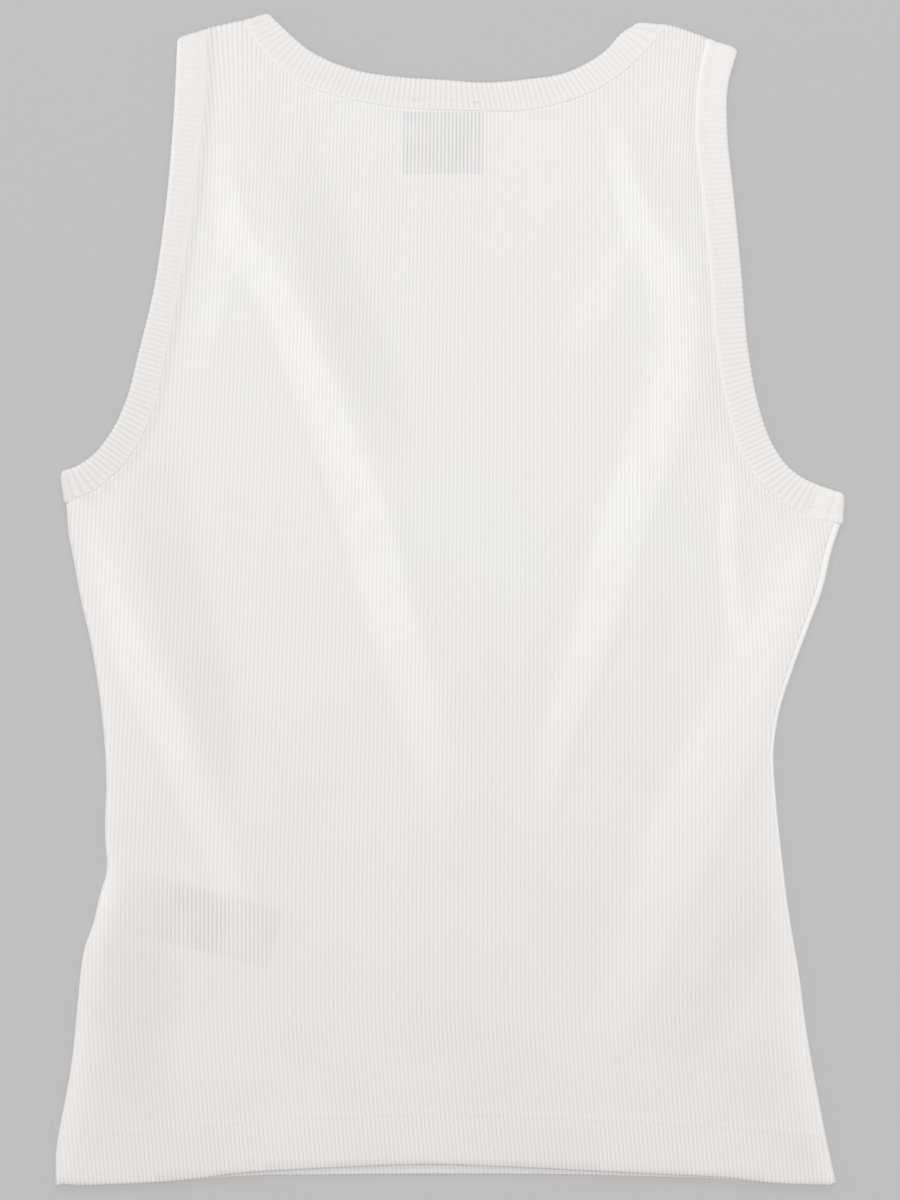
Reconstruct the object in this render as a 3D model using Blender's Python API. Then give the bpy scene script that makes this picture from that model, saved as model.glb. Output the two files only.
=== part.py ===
"""A fitted rib-knit tank top, laid flat on its front with its back facing up.

The tables are in millimetres and the finished objects in metres, +Z up. +Y points to the
neck and +X to the right-hand side of the laid garment, which rests on Z = 0. Each panel is
a wall of cloth between a lower and an upper height over its outline. The outlines run
clockwise seen from above, so a line moved to its left moves away from the cloth.
"""

import math
from collections import namedtuple

import bmesh
import bpy
import numpy as np
from mathutils import Vector
from mathutils.geometry import delaunay_2d_cdt

GARMENT = "rib_knit_tank_top"
MM = 0.001

# Cloth, in millimetres
CLOTH = 1.3  # one layer of knit, measured in the groove between two ribs
RIB_HEIGHT = 0.5  # a rib's crest above that groove
RIBS_AT_WAIST = 158  # ribs across the back at its narrowest
LINES_PER_RIB = 2  # a crest and a groove
BINDING = 2.2  # the neck and armhole strips, folded double
BINDING_RIB_PITCH = 2.5
BINDING_RIB_HEIGHT = 0.4
BINDING_SCALLOP = 0.3  # a rib's crest past the groove at the strip's folded edge
LABEL = 1.0
SEAM_GAP = 0.35  # between two pieces that are sewn together
LAYER_GAP = 0.5  # between the front and the back where they lie on each other
BINDING_LAYER_GAP = 0.4  # between the two lengths of a strip that lie on each other
STRIP_LAYER_GAP = 0.8  # between a strip of the front and the back panel above it

# Heights of the back panel's lower face, over the front alone and over a doubled layer
FLOOR_ON_FRONT = CLOTH + LAYER_GAP
FLOOR_ON_STRIPS = BINDING + STRIP_LAYER_GAP
HEM_LINE = -265.0  # the upper edge of the turned-up hem, in y
HEM_STEP = 4.0  # the hem's upper edge thickens over this length
LOWEST_LINE = -105.0  # the y where the back lies lowest, on the front alone
CHEST_LINE = 45.0  # the y where it has risen on to the strips

# The garment's edge at the sides, from the underarm to the hem: y, x
LEFT_SIDE = (
    (47.75, -192.0), (34, -191.2), (19, -188.5), (-1, -184.8), (-21, -180.2),
    (-46, -176.0), (-71, -173.2), (-96, -172.2), (-132, -172.4), (-143, -173.8),
    (-154, -176.6), (-161, -178.4), (-168, -180.8), (-174, -183.0), (-181, -184.3),
    (-201, -186.5), (-231, -189.5), (-251, -192.9), (-268, -196.2), (-276, -197.3),
    (-290, -197.4),
)
RIGHT_SIDE = (
    (37.25, 195.5), (24, 190.5), (4, 185.3), (-16, 178.0), (-36, 170.5),
    (-56, 164.0), (-76, 161.0), (-96, 162.0), (-126, 165.0), (-156, 168.5),
    (-186, 173.5), (-216, 177.5), (-246, 183.0), (-266, 186.8), (-291, 192.0),
)

# The hems, from left to right: x, y
BACK_HEM = (
    (-195.0, -292.0), (-190.0, -292.5), (-167.5, -292.3), (-129.5, -289.8), (-105.5, -286.8),
    (-75.0, -284.8), (-41.5, -283.2), (-13.0, -282.3), (20.5, -283.2), (59.0, -285.0),
    (103.5, -287.2), (136.0, -288.8), (161.0, -291.6), (191.0, -292.8),
)
FRONT_HEM = (
    (-193.0, -292.8), (-167.5, -292.8), (-129.5, -290.6), (-105.5, -288.6), (-60.0, -287.7),
    (0.0, -287.3), (60.0, -287.7), (103.5, -288.8), (136.0, -290.0), (161.0, -292.0),
    (188.0, -292.7),
)

# Sections across the folded strips: edge x, edge y, seam x, seam y. The edge is the
# opening's, and the seam is the one with the panel.
LEFT_ARMHOLE = (  # from the shoulder to the underarm
    (-137.0, 280.2, -121.5, 285.0), (-137.0, 260.8, -121.0, 260.8), (-139.0, 227.8, -124.0, 225.8),
    (-143.0, 187.2, -129.0, 184.8), (-149.0, 151.2, -136.0, 147.8), (-156.0, 124.2, -141.5, 120.8),
    (-162.5, 99.2, -148.2, 92.8), (-169.0, 85.2, -156.0, 76.2), (-181.0, 70.8, -169.0, 60.6),
    (-188.0, 66.4, -179.0, 52.8), (-195.4, 63.6, -193.1, 47.6),
)
RIGHT_ARMHOLE = (
    (144.1, 275.0, 128.5, 280.2), (139.0, 256.8, 124.0, 261.2), (138.5, 234.2, 122.2, 235.2),
    (141.5, 204.2, 125.5, 202.8), (145.5, 164.2, 129.5, 162.8), (149.0, 124.2, 133.0, 122.2),
    (153.5, 99.2, 138.5, 92.8), (161.5, 76.2, 146.5, 69.0), (168.5, 66.2, 155.0, 57.4),
    (177.0, 59.8, 167.0, 46.9), (186.0, 56.0, 181.0, 40.0), (197.6, 52.8, 196.6, 37.2),
)
BACK_NECK = (  # from the left shoulder to the right
    (-90.0, 293.2, -103.5, 289.2), (-82.5, 284.2, -96.0, 275.8), (-71.0, 274.2, -80.0, 260.5),
    (-47.0, 263.9, -53.0, 249.8), (-24.0, 260.3, -26.0, 245.0), (0.0, 258.8, 0.0, 243.5),
    (12.5, 257.7, 15.0, 243.2), (36.5, 259.1, 40.0, 243.8), (60.5, 263.6, 69.0, 251.8),
    (77.5, 273.5, 87.5, 263.2), (87.2, 283.6, 100.0, 275.5), (92.0, 288.2, 109.0, 287.0),
)
FRONT_NECK_HALF = (  # from below the right shoulder to the middle of the front
    (88.0, 262.0, 103.0, 258.5), (81.0, 230.0, 95.5, 225.5), (70.5, 196.0, 84.0, 188.5),
    (52.0, 166.0, 62.0, 153.5), (27.0, 148.0, 31.5, 132.5), (0.0, 141.5, 0.0, 126.0),
)
FRONT_ARMHOLE_DEEPER = 6.0  # how much further in the front's armholes are cut

# Which way each fold at a strip's end faces
LEFT_SHOULDER_WAY = (-0.27, 0.963)
RIGHT_SHOULDER_WAY = (0.30, 0.954)
LEFT_UNDERARM_WAY = (-0.988, -0.154)
RIGHT_UNDERARM_WAY = (0.998, -0.064)

# How far the front rolls on to the back past its rounded edge
ROLL = {"left side": 0.0, "right side": 1.5, "left shoulder": 0.0, "right shoulder": 0.0}
ROLL_CLEAR = 1.5  # of a rolled edge's ends that stay plain, clear of the strips

# Where the ribs lean: x per y, from no lean at one x to full lean at another, and from one
# y on, upwards or downwards
Lean = namedtuple("Lean", "lean x_with_none x_with_all start way")
LEANS = (
    Lean(0.26, -80, -125, 195, 1),
    Lean(-0.27, 80, 125, 190, 1),
    Lean(0.13, 90, 190, -40, 1),
    Lean(-0.05, 60, -150, -150, 1),
    Lean(0.10, -500, -400, -200, -1),
)
LEAN_SOFTNESS = 30.0  # a lean comes in over about this length

# Soft folds in the back: half the width at either end, and the places that each crest passes
Fold = namedtuple("Fold", "first_half last_half height places")
FOLDS = (
    Fold(12, 24, 2.4, (
        (-115, 240), (-110, 188), (-87, 149), (-66, 101), (-45, 47), (-27, -13), (-9, -67),
        (4, -122))),
    Fold(10, 16, 1.6, ((80, 240), (87, 209), (94, 186), (105, 166), (116, 132))),
    Fold(24, 12, 1.9, (
        (102, 178), (113, 143), (110, 107), (99, 71), (86, 35), (75, -7), (63, -43), (50, -85),
        (44, -124))),
    Fold(18, 14, 1.7, (
        (-188, 50), (-171, -1), (-156, -37), (-141, -67), (-126, -103), (-112, -140),
        (-103, -176))),
    Fold(36, 20, 2.0, (
        (190, 44), (174, 5), (159, -31), (138, -73), (123, -103), (108, -139), (96, -175),
        (84, -205), (70, -234))),
    Fold(12, 12, 0.9, ((-110, 196), (-117, 149), (-130, 104))),
    Fold(8, 8, 1.0, ((140, 72), (138, 29), (142, -24))),
)
FOLD_TOP = 0.2  # the share of a fold's half width that is its flat top
FOLD_END = 0.02  # of a fold's length: no nearer to its tips than this
FOLD_TAPER = 0.6  # the lower, the further a fold stays high towards its tips

# Labels: x and y are the middle's, and the tilt is in degrees
Label = namedtuple("Label", "x y length width tilt")
NECK_LABEL = Label(-3.5, 227.4, 40.0, 31.0, 0.0)
CARE_LABEL = Label(-122.0, -161.0, 72.0, 30.0, -15.0)
LABEL_RISE_MARGIN = (3.0, 15.0)  # the rise over the label: its flat top, then its slope

# Fineness
LINE_STEP = 1.0  # between the points of an outline as it is worked out
SAMPLE_STEP = 4.0  # between the heights tried along a rib
HEIGHT_TOLERANCE = 0.25
LEAN_WEIGHT = 0.5  # what a rib's lean counts for beside its heights
OUTLINE_TOLERANCE = 0.09
CLOSEST = 0.3  # points of an outline nearer than this become one
CLEAR_OF_EDGE = 1.2
LONGEST_EDGE = 20.0
SHOULDER_POINTS = 20
LEAN_ROUNDS = 12  # to find the x of a leaning rib
LONGEST_STEEP_EDGE = 40.0
FOLD_LINE_STEP = 24.0
INNER_TOLERANCE = 0.17
INNER_SAMPLE = 6.0  # between the places where the inner face's height is tried
INNER_SPACING = 20.0  # between the points that one round adds
INNER_ROUNDS = 7
INNER_CLEAR_OF_EDGE = 3.0
COARSE_STEP = 11.0  # between a strip's sections where it is plain
FOLD_STEPS = 4
ROLL_STEPS = 4
FLAT_STEP = 60.0  # between the points inside a flat panel
FLAT_FROM = (-180.0, -240.0)  # the first and the last of those points
FLAT_TO = (181.0, 281.0)
FLAT_CLEAR_OF_EDGE = 12.0
LABEL_STEPS = (5, 2)
SHARP = 50.0  # degrees from which an edge between two faces is sharp

KNIT_COLOUR = (0.83, 0.815, 0.79, 1.0)
BINDING_COLOUR = (0.85, 0.835, 0.81, 1.0)
LABEL_COLOUR = (0.03, 0.035, 0.06, 1.0)
CARE_COLOUR = (0.10, 0.11, 0.15, 1.0)


# ---------------------------------------------------------------- lines and outlines

def unit(way):
    """A direction of length 1."""
    way = np.asarray(way, float)
    return way / np.linalg.norm(way)


def run_along(points):
    """How far along its line each point lies."""
    steps = np.linalg.norm(np.diff(points[:, :2], axis=0), axis=1)
    return np.concatenate([[0.0], np.cumsum(steps)])


def flowing(rows, step=LINE_STEP):
    """The rows of a table joined by a smooth curve (cubic, with slopes from the neighbours)."""
    rows = np.asarray(rows, float)
    run = run_along(rows)
    slope = np.gradient(rows, run, axis=0)
    place = np.linspace(0.0, run[-1], int(run[-1] / step) + 2)
    i = np.clip(np.searchsorted(run, place, side="right") - 1, 0, len(run) - 2)
    length = (run[i + 1] - run[i])[:, None]
    t = (place - run[i])[:, None] / length
    return (
        (2 * t**3 - 3 * t**2 + 1) * rows[i]
        + (t**3 - 2 * t**2 + t) * length * slope[i]
        + (3 * t**2 - 2 * t**3) * rows[i + 1]
        + (t**3 - t**2) * length * slope[i + 1]
    )


def left_of(line):
    """The unit direction to the left of a line at each of its points."""
    along = np.gradient(line, axis=0)
    along /= np.linalg.norm(along, axis=1)[:, None]
    return np.stack([-along[:, 1], along[:, 0]], axis=1)


def moved(line, distance):
    """The line moved to its left, by one distance or one for each point."""
    return line + left_of(line) * np.reshape(distance, (-1, 1))


def lengthened(line, by=8.0):
    """The line with a straight piece added at each end."""
    first = line[0] + unit(line[0] - line[3]) * by
    last = line[-1] + unit(line[-1] - line[-4]) * by
    return np.vstack([first, line, last])


def turned(a, b):
    """The z of the cross product of two flat directions."""
    return a[..., 0] * b[..., 1] - a[..., 1] * b[..., 0]


def crossing(first, second):
    """Where the first line last crosses the second: the point, and each one's place there."""
    run_a, run_b = np.diff(first, axis=0)[:, None], np.diff(second, axis=0)[None]
    between = second[None, :-1] - first[:-1, None]
    cross = turned(run_a, run_b)
    cross = np.where(np.abs(cross) < 1e-12, 1e-12, cross)
    t, s = turned(between, run_b) / cross, turned(between, run_a) / cross
    hits = np.argwhere((t >= 0) & (t <= 1) & (s >= 0) & (s <= 1))
    i, j = hits[-1]
    return first[i] + run_a[i, 0] * t[i, j], i, j


def outline_of(lines):
    """One closed outline from lines that cross at their ends, and each line's first point."""
    lines = [lengthened(line) for line in lines]
    corners = [crossing(a, b) for a, b in zip(lines, lines[1:] + lines[:1])]
    points, starts = [], []
    for number, line in enumerate(lines):
        start, _, first = corners[number - 1]
        _, last, _ = corners[number]
        starts.append(sum(len(part) for part in points))
        points.append(np.vstack([start, line[first + 1:last + 1]]))
    return np.vstack(points), starts


def needed(points, tolerance):
    """Which points a straight run between the others would miss by more than the tolerance."""
    keep = {0, len(points) - 1}
    waiting = [(0, len(points) - 1)]
    while waiting:
        a, b = waiting.pop()
        if b - a < 2:
            continue
        chord = points[b] - points[a]
        inner = points[a + 1:b] - points[a]
        share = np.clip(inner @ chord / max(chord @ chord, 1e-12), 0.0, 1.0)
        off = np.linalg.norm(inner - share[:, None] * chord, axis=1)
        if off.max() > tolerance:
            middle = a + 1 + int(off.argmax())
            keep.add(middle)
            waiting += [(a, middle), (middle, b)]
    return sorted(keep)


def plain_places(outline, starts, longest=LONGEST_EDGE):
    """Places along an outline that keep its shape, none further apart than the longest edge."""
    places = []
    stops = starts[1:] + [len(outline)]
    for a, b in zip(starts, stops):
        stretch = outline[np.arange(a, b + 1) % len(outline)]
        kept = needed(stretch, OUTLINE_TOLERANCE)
        run = run_along(stretch)
        for first, last in zip(kept, kept[1:]):
            parts = max(1, math.ceil((run[last] - run[first]) / longest))
            wanted = run[first] + (run[last] - run[first]) * np.arange(parts) / parts
            places += [a + float(np.interp(w, run, np.arange(len(run)))) for w in wanted]
    return places


def at_place(outline, place):
    """The point at a place along a closed outline, which counts its points and parts of steps."""
    i = int(place)
    a, b = outline[i % len(outline)], outline[(i + 1) % len(outline)]
    return a + (b - a) * (place - i)


# ---------------------------------------------------------------- heights

def ramp(value, start, stop):
    """0 before the start, 1 past the stop, and straight between them."""
    return np.clip((value - start) / (stop - start), 0.0, 1.0)


def eased(share):
    """A ramp with soft ends."""
    return share * share * (3 - 2 * share)


def fold_lines():
    """Each fold, its crest line, and the share of its length at each of the line's points."""
    lines = []
    for fold in FOLDS:
        line = flowing(fold.places, FOLD_LINE_STEP)
        run = run_along(line)
        lines.append((fold, line, run / run[-1]))
    return lines


def folds(x, y):
    """Height of the soft folds: flat-topped with eased flanks, and tapered at both ends."""
    total = np.zeros_like(x)
    for fold, line, shares in FOLD_LINES:
        away = np.full_like(x, np.inf)
        along = np.zeros_like(x)
        for a, b, share_a, share_b in zip(line, line[1:], shares, shares[1:]):
            chord = b - a
            part = ((x - a[0]) * chord[0] + (y - a[1]) * chord[1]) / (chord @ chord)
            part = np.clip(part, 0.0, 1.0)
            gap = np.hypot(x - a[0] - part * chord[0], y - a[1] - part * chord[1])
            nearer = gap < away
            away = np.where(nearer, gap, away)
            along = np.where(nearer, share_a + part * (share_b - share_a), along)
        taper = np.sin(math.pi * np.clip(along, FOLD_END, 1 - FOLD_END)) ** FOLD_TAPER
        half = fold.first_half + (fold.last_half - fold.first_half) * along
        across = eased(ramp(away / half, 1.0, FOLD_TOP))
        total = total + fold.height * taper * across
    return total


FOLD_LINES = fold_lines()


def in_label(label, x, y):
    """A place in a label's own directions, from its middle."""
    c, s = math.cos(math.radians(label.tilt)), math.sin(math.radians(label.tilt))
    dx, dy = x - label.x, y - label.y
    return dx * c + dy * s, dy * c - dx * s


def care_label_rise(x, y):
    """How far the back is lifted by the care label beneath it."""
    along, across = in_label(CARE_LABEL, x, y)
    flat, slope = LABEL_RISE_MARGIN
    past_x = np.maximum(np.abs(along) - CARE_LABEL.length / 2 - flat, 0.0)
    past_y = np.maximum(np.abs(across) - CARE_LABEL.width / 2 - flat, 0.0)
    return (LABEL + LAYER_GAP) * (1 - eased(ramp(np.hypot(past_x, past_y), 0.0, slope)))


def rest_top(y):
    """Height of the back's upper face before any fold, in the grooves between the ribs."""
    on_front = FLOOR_ON_FRONT + CLOTH
    at_chest = (FLOOR_ON_STRIPS + CLOTH - on_front) * ramp(y, LOWEST_LINE, CHEST_LINE)
    at_hem = (FLOOR_ON_STRIPS + 2 * CLOTH - on_front) * (1 - ramp(y, HEM_LINE, LOWEST_LINE))
    return on_front + at_chest + at_hem


def wall(y):
    """Thickness of a panel: one layer, or two in the turned-up hem."""
    return CLOTH * (2 - ramp(y, HEM_LINE - HEM_STEP, HEM_LINE))


def back_top(x, y):
    """Height of the back's upper face in the grooves between the ribs."""
    return rest_top(y) + folds(x, y) + care_label_rise(x, y)


def back_floor(x, y):
    """Height of the back's lower face."""
    return back_top(x, y) - wall(y)


def rolled_radius(y):
    """Outer radius of the front's rolled side, which comes up level with the back."""
    return (rest_top(y) + RIB_HEIGHT / 2) / 2


# ---------------------------------------------------------------- ribs

def rib_shift(x, y):
    """What is added to x to give the place that counts ribs, so that they lean."""
    shift = np.zeros_like(x)
    for row in LEANS:
        past = np.maximum((y - row.start) * row.way, 0.0)
        past = past * past / (past + LEAN_SOFTNESS)
        share = eased(ramp(x, row.x_with_none, row.x_with_all))
        shift = shift + row.lean * row.way * past * share
    return shift


def rib_place(x, y):
    """The place across the cloth at which a point lies, in millimetres at the waist."""
    return x + rib_shift(x, y)


def on_rib(place, y):
    """The x at which a rib line passes a y."""
    x = np.full_like(y, place)
    for _ in range(LEAN_ROUNDS):
        x = place - rib_shift(x, y)
    return x


# ---------------------------------------------------------------- meshes

def triangles_in(points, loop, chains):
    """Triangles that fill a clockwise loop of points and keep the chains' edges."""
    edges = [pair for chain in chains for pair in zip(chain, chain[1:])]
    flat = [Vector((float(x), float(y))) for x, y in points]
    result = delaunay_2d_cdt(flat, edges, [loop[::-1]], 1, 1e-7, True)
    came_from, in_face = result[3], result[5]
    if any(len(which) != 1 for which in came_from):
        raise ValueError("two lines of the triangulation cross or touch")
    return [
        tuple(came_from[corner][0] for corner in triangle)
        for triangle, inside in zip(result[2], in_face) if inside
    ]


def zipped(low, high):
    """Triangles between two rows of (place, vertex) that start and end side by side."""
    faces = []
    i = j = 0
    while i < len(low) - 1 or j < len(high) - 1:
        low_next = j == len(high) - 1 or (i < len(low) - 1 and low[i + 1][0] <= high[j + 1][0])
        if low_next:
            faces.append((low[i][1], low[i + 1][1], high[j][1]))
            i += 1
        else:
            faces.append((low[i][1], high[j + 1][1], high[j][1]))
            j += 1
    return [face for face in faces if len(set(face)) == 3]


def material(name, colour, roughness):
    """A plain material for one piece."""
    made = bpy.data.materials.new(name)
    made.use_nodes = True
    shader = made.node_tree.nodes["Principled BSDF"]
    shader.inputs["Base Color"].default_value = colour
    shader.inputs["Roughness"].default_value = roughness
    shader.inputs["Metallic"].default_value = 0.0
    return made


def closed_object(name, points, faces, colour, roughness=0.9):
    """An object from points in millimetres and faces, its faces turned outwards."""
    mesh = bpy.data.meshes.new(name)
    shape = bmesh.new()
    corners = [shape.verts.new(Vector(point) * MM) for point in points]
    for face in faces:
        shape.faces.new([corners[i] for i in face])
    bmesh.ops.recalc_face_normals(shape, faces=shape.faces)
    if shape.calc_volume(signed=True) < 0:
        bmesh.ops.reverse_faces(shape, faces=shape.faces)
    shape.to_mesh(mesh)
    shape.free()
    mesh.shade_smooth()
    mesh.set_sharp_from_angle(angle=math.radians(SHARP))
    mesh.materials.append(material(name + "_cloth", colour, roughness))
    made = bpy.data.objects.new(name, mesh)
    bpy.data.collections[GARMENT].objects.link(made)
    return made


# ---------------------------------------------------------------- strips round the openings

# The rows of points along a strip: the share of its width, the cloth's depth on the back
# and on the front, and how much of a rib's rise and reach is there. A row with neither
# has only the coarse sections.
StripRow = namedtuple("StripRow", "share depth front_depth rise reach")
STRIP_ROWS = (
    StripRow(0.00, 0.0, 0.0, 0, 0),
    StripRow(0.00, BINDING - 0.1, BINDING, 0, 0),
    StripRow(0.28, BINDING, BINDING, 1, 0),
    StripRow(0.88, BINDING - 0.1, BINDING, 1, 0),
    StripRow(1.00, BINDING / 2, BINDING / 2, 0, 1),
    StripRow(0.95, 0.0, 0.0, 0, 0),
)


class Strip:
    """A rib strip folded over an edge: a closed ring that lies double, the back's length on
    the front's, joined by a fold at either end. Its param runs 0 to 1 along the back, to 2
    round the fold, to 3 along the front and to 4 round the other fold."""

    inner_radius = BINDING_LAYER_GAP / 2
    axis_height = BINDING + BINDING_LAYER_GAP / 2

    def __init__(self, back_rows, front_rows, start_way, end_way):
        self.ways = unit(start_way), unit(end_way)
        self.back = self.sections(back_rows)
        self.front = self.sections(front_rows)

    def sections(self, rows):
        """The smooth sections of one length, its ends drawn back to the folds' axes."""
        rows = np.array(rows, float)
        for end, way in zip((0, -1), self.ways):
            rows[end] -= np.tile(way * self.axis_height, 2)
        return flowing(rows)

    def across(self, param):
        """The edge and seam points of a section, its upward direction and the fold's way."""
        if param <= 1 or param >= 4:
            line, share = self.back, param % 4
        elif 2 <= param <= 3:
            line, share = self.front, 3 - param
        else:
            line, share = self.back, float(param < 2)
        index = share * (len(line) - 1)
        row = np.array([np.interp(index, np.arange(len(line)), column) for column in line.T])
        turn = math.pi * (ramp(param, 1.0, 2.0) + ramp(param, 3.0, 4.0))
        way = self.ways[1] if param < 2.5 else self.ways[0]
        up = np.array([*(way * abs(math.sin(turn))), math.cos(turn)])
        return row[:2], row[2:], up

    def point(self, param, share, depth):
        """A point: its share of the way from the seam to the edge, and depth of cloth there."""
        edge, seam, up = self.across(param)
        flat = np.array([*(seam + (edge - seam) * share), self.axis_height])
        return flat + up * (self.inner_radius + depth)

    def build(self, name):
        """The ring's object: rows of points along it, ribbed on the back's length."""
        length = run_along(self.back)[-1]
        ribs = round(length / BINDING_RIB_PITCH)
        ribbed = np.linspace(0, 1, 2 * ribs + 1)
        plain = np.linspace(0, 1, round(length / COARSE_STEP) + 1)
        fold = 1 + np.arange(1, FOLD_STEPS) / FOLD_STEPS
        front = 2 + np.linspace(0, 1, round(run_along(self.front)[-1] / COARSE_STEP) + 1)
        width = np.linalg.norm(self.back[0, :2] - self.back[0, 2:])
        points, chains = [], []
        for row in STRIP_ROWS:
            along = ribbed if row.rise or row.reach else plain
            chain = []
            for number, param in enumerate([*along, *fold, *front, *(fold + 2)]):
                crest = number % 2 if param < 1 else 0
                share = row.share + crest * row.reach * BINDING_SCALLOP / width
                depth = row.front_depth if 2 <= param <= 3 else row.depth
                chain.append((param, len(points)))
                points.append(self.point(param, share, depth + crest * row.rise * BINDING_RIB_HEIGHT))
            chains.append([*chain, (4.0, chain[0][1])])
        faces = []
        for low, high in zip(chains, chains[1:] + chains[:1]):
            faces += zipped(low, high)
        return closed_object(name, points, faces, BINDING_COLOUR)


def deeper(rows, by):
    """A front length: the back's sections drawn in towards the middle of the garment."""
    rows = np.array(rows, float)
    run = run_along(rows)
    inward = -np.sign(rows[:, 2]) * by * np.sin(math.pi * run / run[-1]) ** 2
    rows[:, 0] += inward
    rows[:, 2] += inward
    return rows


def front_neck_rows():
    """The front's neck from the left shoulder, down round the scoop and up to the right."""
    right = np.array(FRONT_NECK_HALF)
    left = right * (-1, 1, -1, 1)
    return np.vstack([BACK_NECK[0], left, right[-2::-1], BACK_NECK[-1]])


# ---------------------------------------------------------------- panels

def panel_lines(left, neck, right, hem, front):
    """The lines round a panel by their names, clockwise from the left underarm. The front's
    rolled edges stand further out than the back's, by the gap between the two."""
    def inset(line, name):
        turned_in = rolled_radius(line[:, 1]) + (0.0 if front else ROLL[name] + SEAM_GAP)
        return moved(line, -turned_in)

    return {
        "left armhole": moved(left[::-1, 2:], -SEAM_GAP),
        "left shoulder": inset(shoulder(LEFT_ARMHOLE[0], BACK_NECK[0]), "left shoulder"),
        "neck": moved(neck[:, 2:], -SEAM_GAP),
        "right shoulder": inset(shoulder(BACK_NECK[-1], RIGHT_ARMHOLE[0]), "right shoulder"),
        "right armhole": moved(right[:, 2:], -SEAM_GAP),
        "right side": inset(flowing([(x, y) for y, x in RIGHT_SIDE]), "right side"),
        "hem": flowing(hem[::-1]),
        "left side": inset(flowing([(x, y) for y, x in LEFT_SIDE[::-1]]), "left side"),
    }


def shoulder(first, last):
    """The straight top of a strap, between the seams of two strips' end sections."""
    return np.linspace(first[2:], last[2:], SHOULDER_POINTS)


class RibLines:
    """The back's rib lines, numbered from its narrowest place on the left: even numbers are
    crests and odd ones grooves. Both narrowest places lie midway between two lines."""

    def __init__(self, left_side, right_side):
        self.first = rib_place(*left_side.T).max()
        self.gap = (rib_place(*right_side.T).min() - self.first) / (RIBS_AT_WAIST * LINES_PER_RIB)

    def number(self, x, y):
        """A point's number, whole on a line."""
        return (rib_place(x, y) - self.first) / self.gap - 0.5

    def points(self, number, top, bottom):
        """Points down one line between two heights on the garment."""
        y = np.linspace(top, bottom, max(2, round((top - bottom) / SAMPLE_STEP) + 1))
        return on_rib(self.first + (number + 0.5) * self.gap, y), y

    def rise(self, number):
        """The rib's height at a number: full on a crest and none in a groove."""
        return RIB_HEIGHT * abs(abs(number % 2) - 1.0)


def line_ends(outline, starts, ribs):
    """The places round an outline that its rib lines need, and where each line ends."""
    numbers = ribs.number(*outline.T)
    found = []
    for i, (a, b) in enumerate(zip(numbers, np.roll(numbers, -1))):
        for line in range(math.ceil(min(a, b)), math.ceil(max(a, b))):
            found.append((i + (line - a) / (b - a), line))
    found += [(place, None) for place in plain_places(outline, starts, LONGEST_STEEP_EDGE)]
    run = run_along(np.vstack([outline, outline[:1]]))
    kept, ends = [], {}
    for place, line in [(float(start), None) for start in starts] + found:
        runs = np.interp([*kept, place], range(len(run)), run)
        gaps = np.abs(runs[:-1] - runs[-1])
        gaps = np.minimum(gaps, run[-1] - gaps)
        if kept and gaps.min() < CLOSEST:
            place = kept[gaps.argmin()]
        else:
            kept.append(place)
        if line is not None:
            ends.setdefault(line, set()).add(place)
    return sorted(kept), ends


def rib_chains(outline, places, ends, ribs):
    """Points on and inside the outline along every rib line, how high the rib is at each,
    and the chains of point numbers that follow the lines."""
    points = [at_place(outline, place) for place in places]
    rises = [ribs.rise(ribs.number(*point)) for point in points]
    chains = []
    index = {place: i for i, place in enumerate(places)}
    for number, tips in sorted(ends.items()):
        tips = sorted((index[place] for place in tips), key=lambda i: -points[i][1])
        for top, bottom in zip(tips[::2], tips[1::2]):
            x, y = ribs.points(number, points[top][1], points[bottom][1])
            inside = clear_of(outline, x, y, CLEAR_OF_EDGE)
            kept = needed(np.stack([x * LEAN_WEIGHT, y, back_top(x, y)], axis=1), HEIGHT_TOLERANCE)
            kept = [i for i in kept[1:-1] if inside[i]]
            chains.append([top, *range(len(points), len(points) + len(kept)), bottom])
            points += [np.array([x[i], y[i]]) for i in kept]
            rises += [ribs.rise(number)] * len(kept)
    return np.array(points), np.array(rises), chains


def height_in(triangles, x, y):
    """The height of a surface of triangles over each place."""
    found = np.full_like(x, np.nan)
    for a, b, c in triangles:
        ab, ac = b[:2] - a[:2], c[:2] - a[:2]
        area = turned(ab, ac)
        dx, dy = x - a[0], y - a[1]
        u, v = (dx * ac[1] - dy * ac[0]) / area, (dy * ab[0] - dx * ab[1]) / area
        inside = (u >= 0) & (v >= 0) & (u + v <= 1)
        found[inside] = (a[2] + u * (b[2] - a[2]) + v * (c[2] - a[2]))[inside]
    return found


def inner_points(outline, rim):
    """Points of the back's plain inner face: its rim, then rounds of the places where its
    triangles still miss the height by most, none of one round close to another."""
    steps = [np.arange(low, high, INNER_SAMPLE) for low, high in zip(outline.min(0), outline.max(0))]
    x, y = (grid.ravel() for grid in np.meshgrid(*steps))
    inside = inside_loop(outline, np.stack([x, y], axis=1))
    inside &= clear_of(outline, x, y, INNER_CLEAR_OF_EDGE)
    x, y = x[inside], y[inside]
    points = np.array(rim)
    for _ in range(INNER_ROUNDS):
        solid = np.column_stack([points, back_floor(*points.T)])
        corners = solid[np.array(triangles_in(points, list(range(len(rim))), []))]
        missed = np.nan_to_num(np.abs(height_in(corners, x, y) - back_floor(x, y)))
        free = missed > INNER_TOLERANCE
        while free.any():
            i = np.argmax(np.where(free, missed, 0.0))
            points = np.vstack([points, (x[i], y[i])])
            free &= np.hypot(x - x[i], y - y[i]) > INNER_SPACING
    return points


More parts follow.
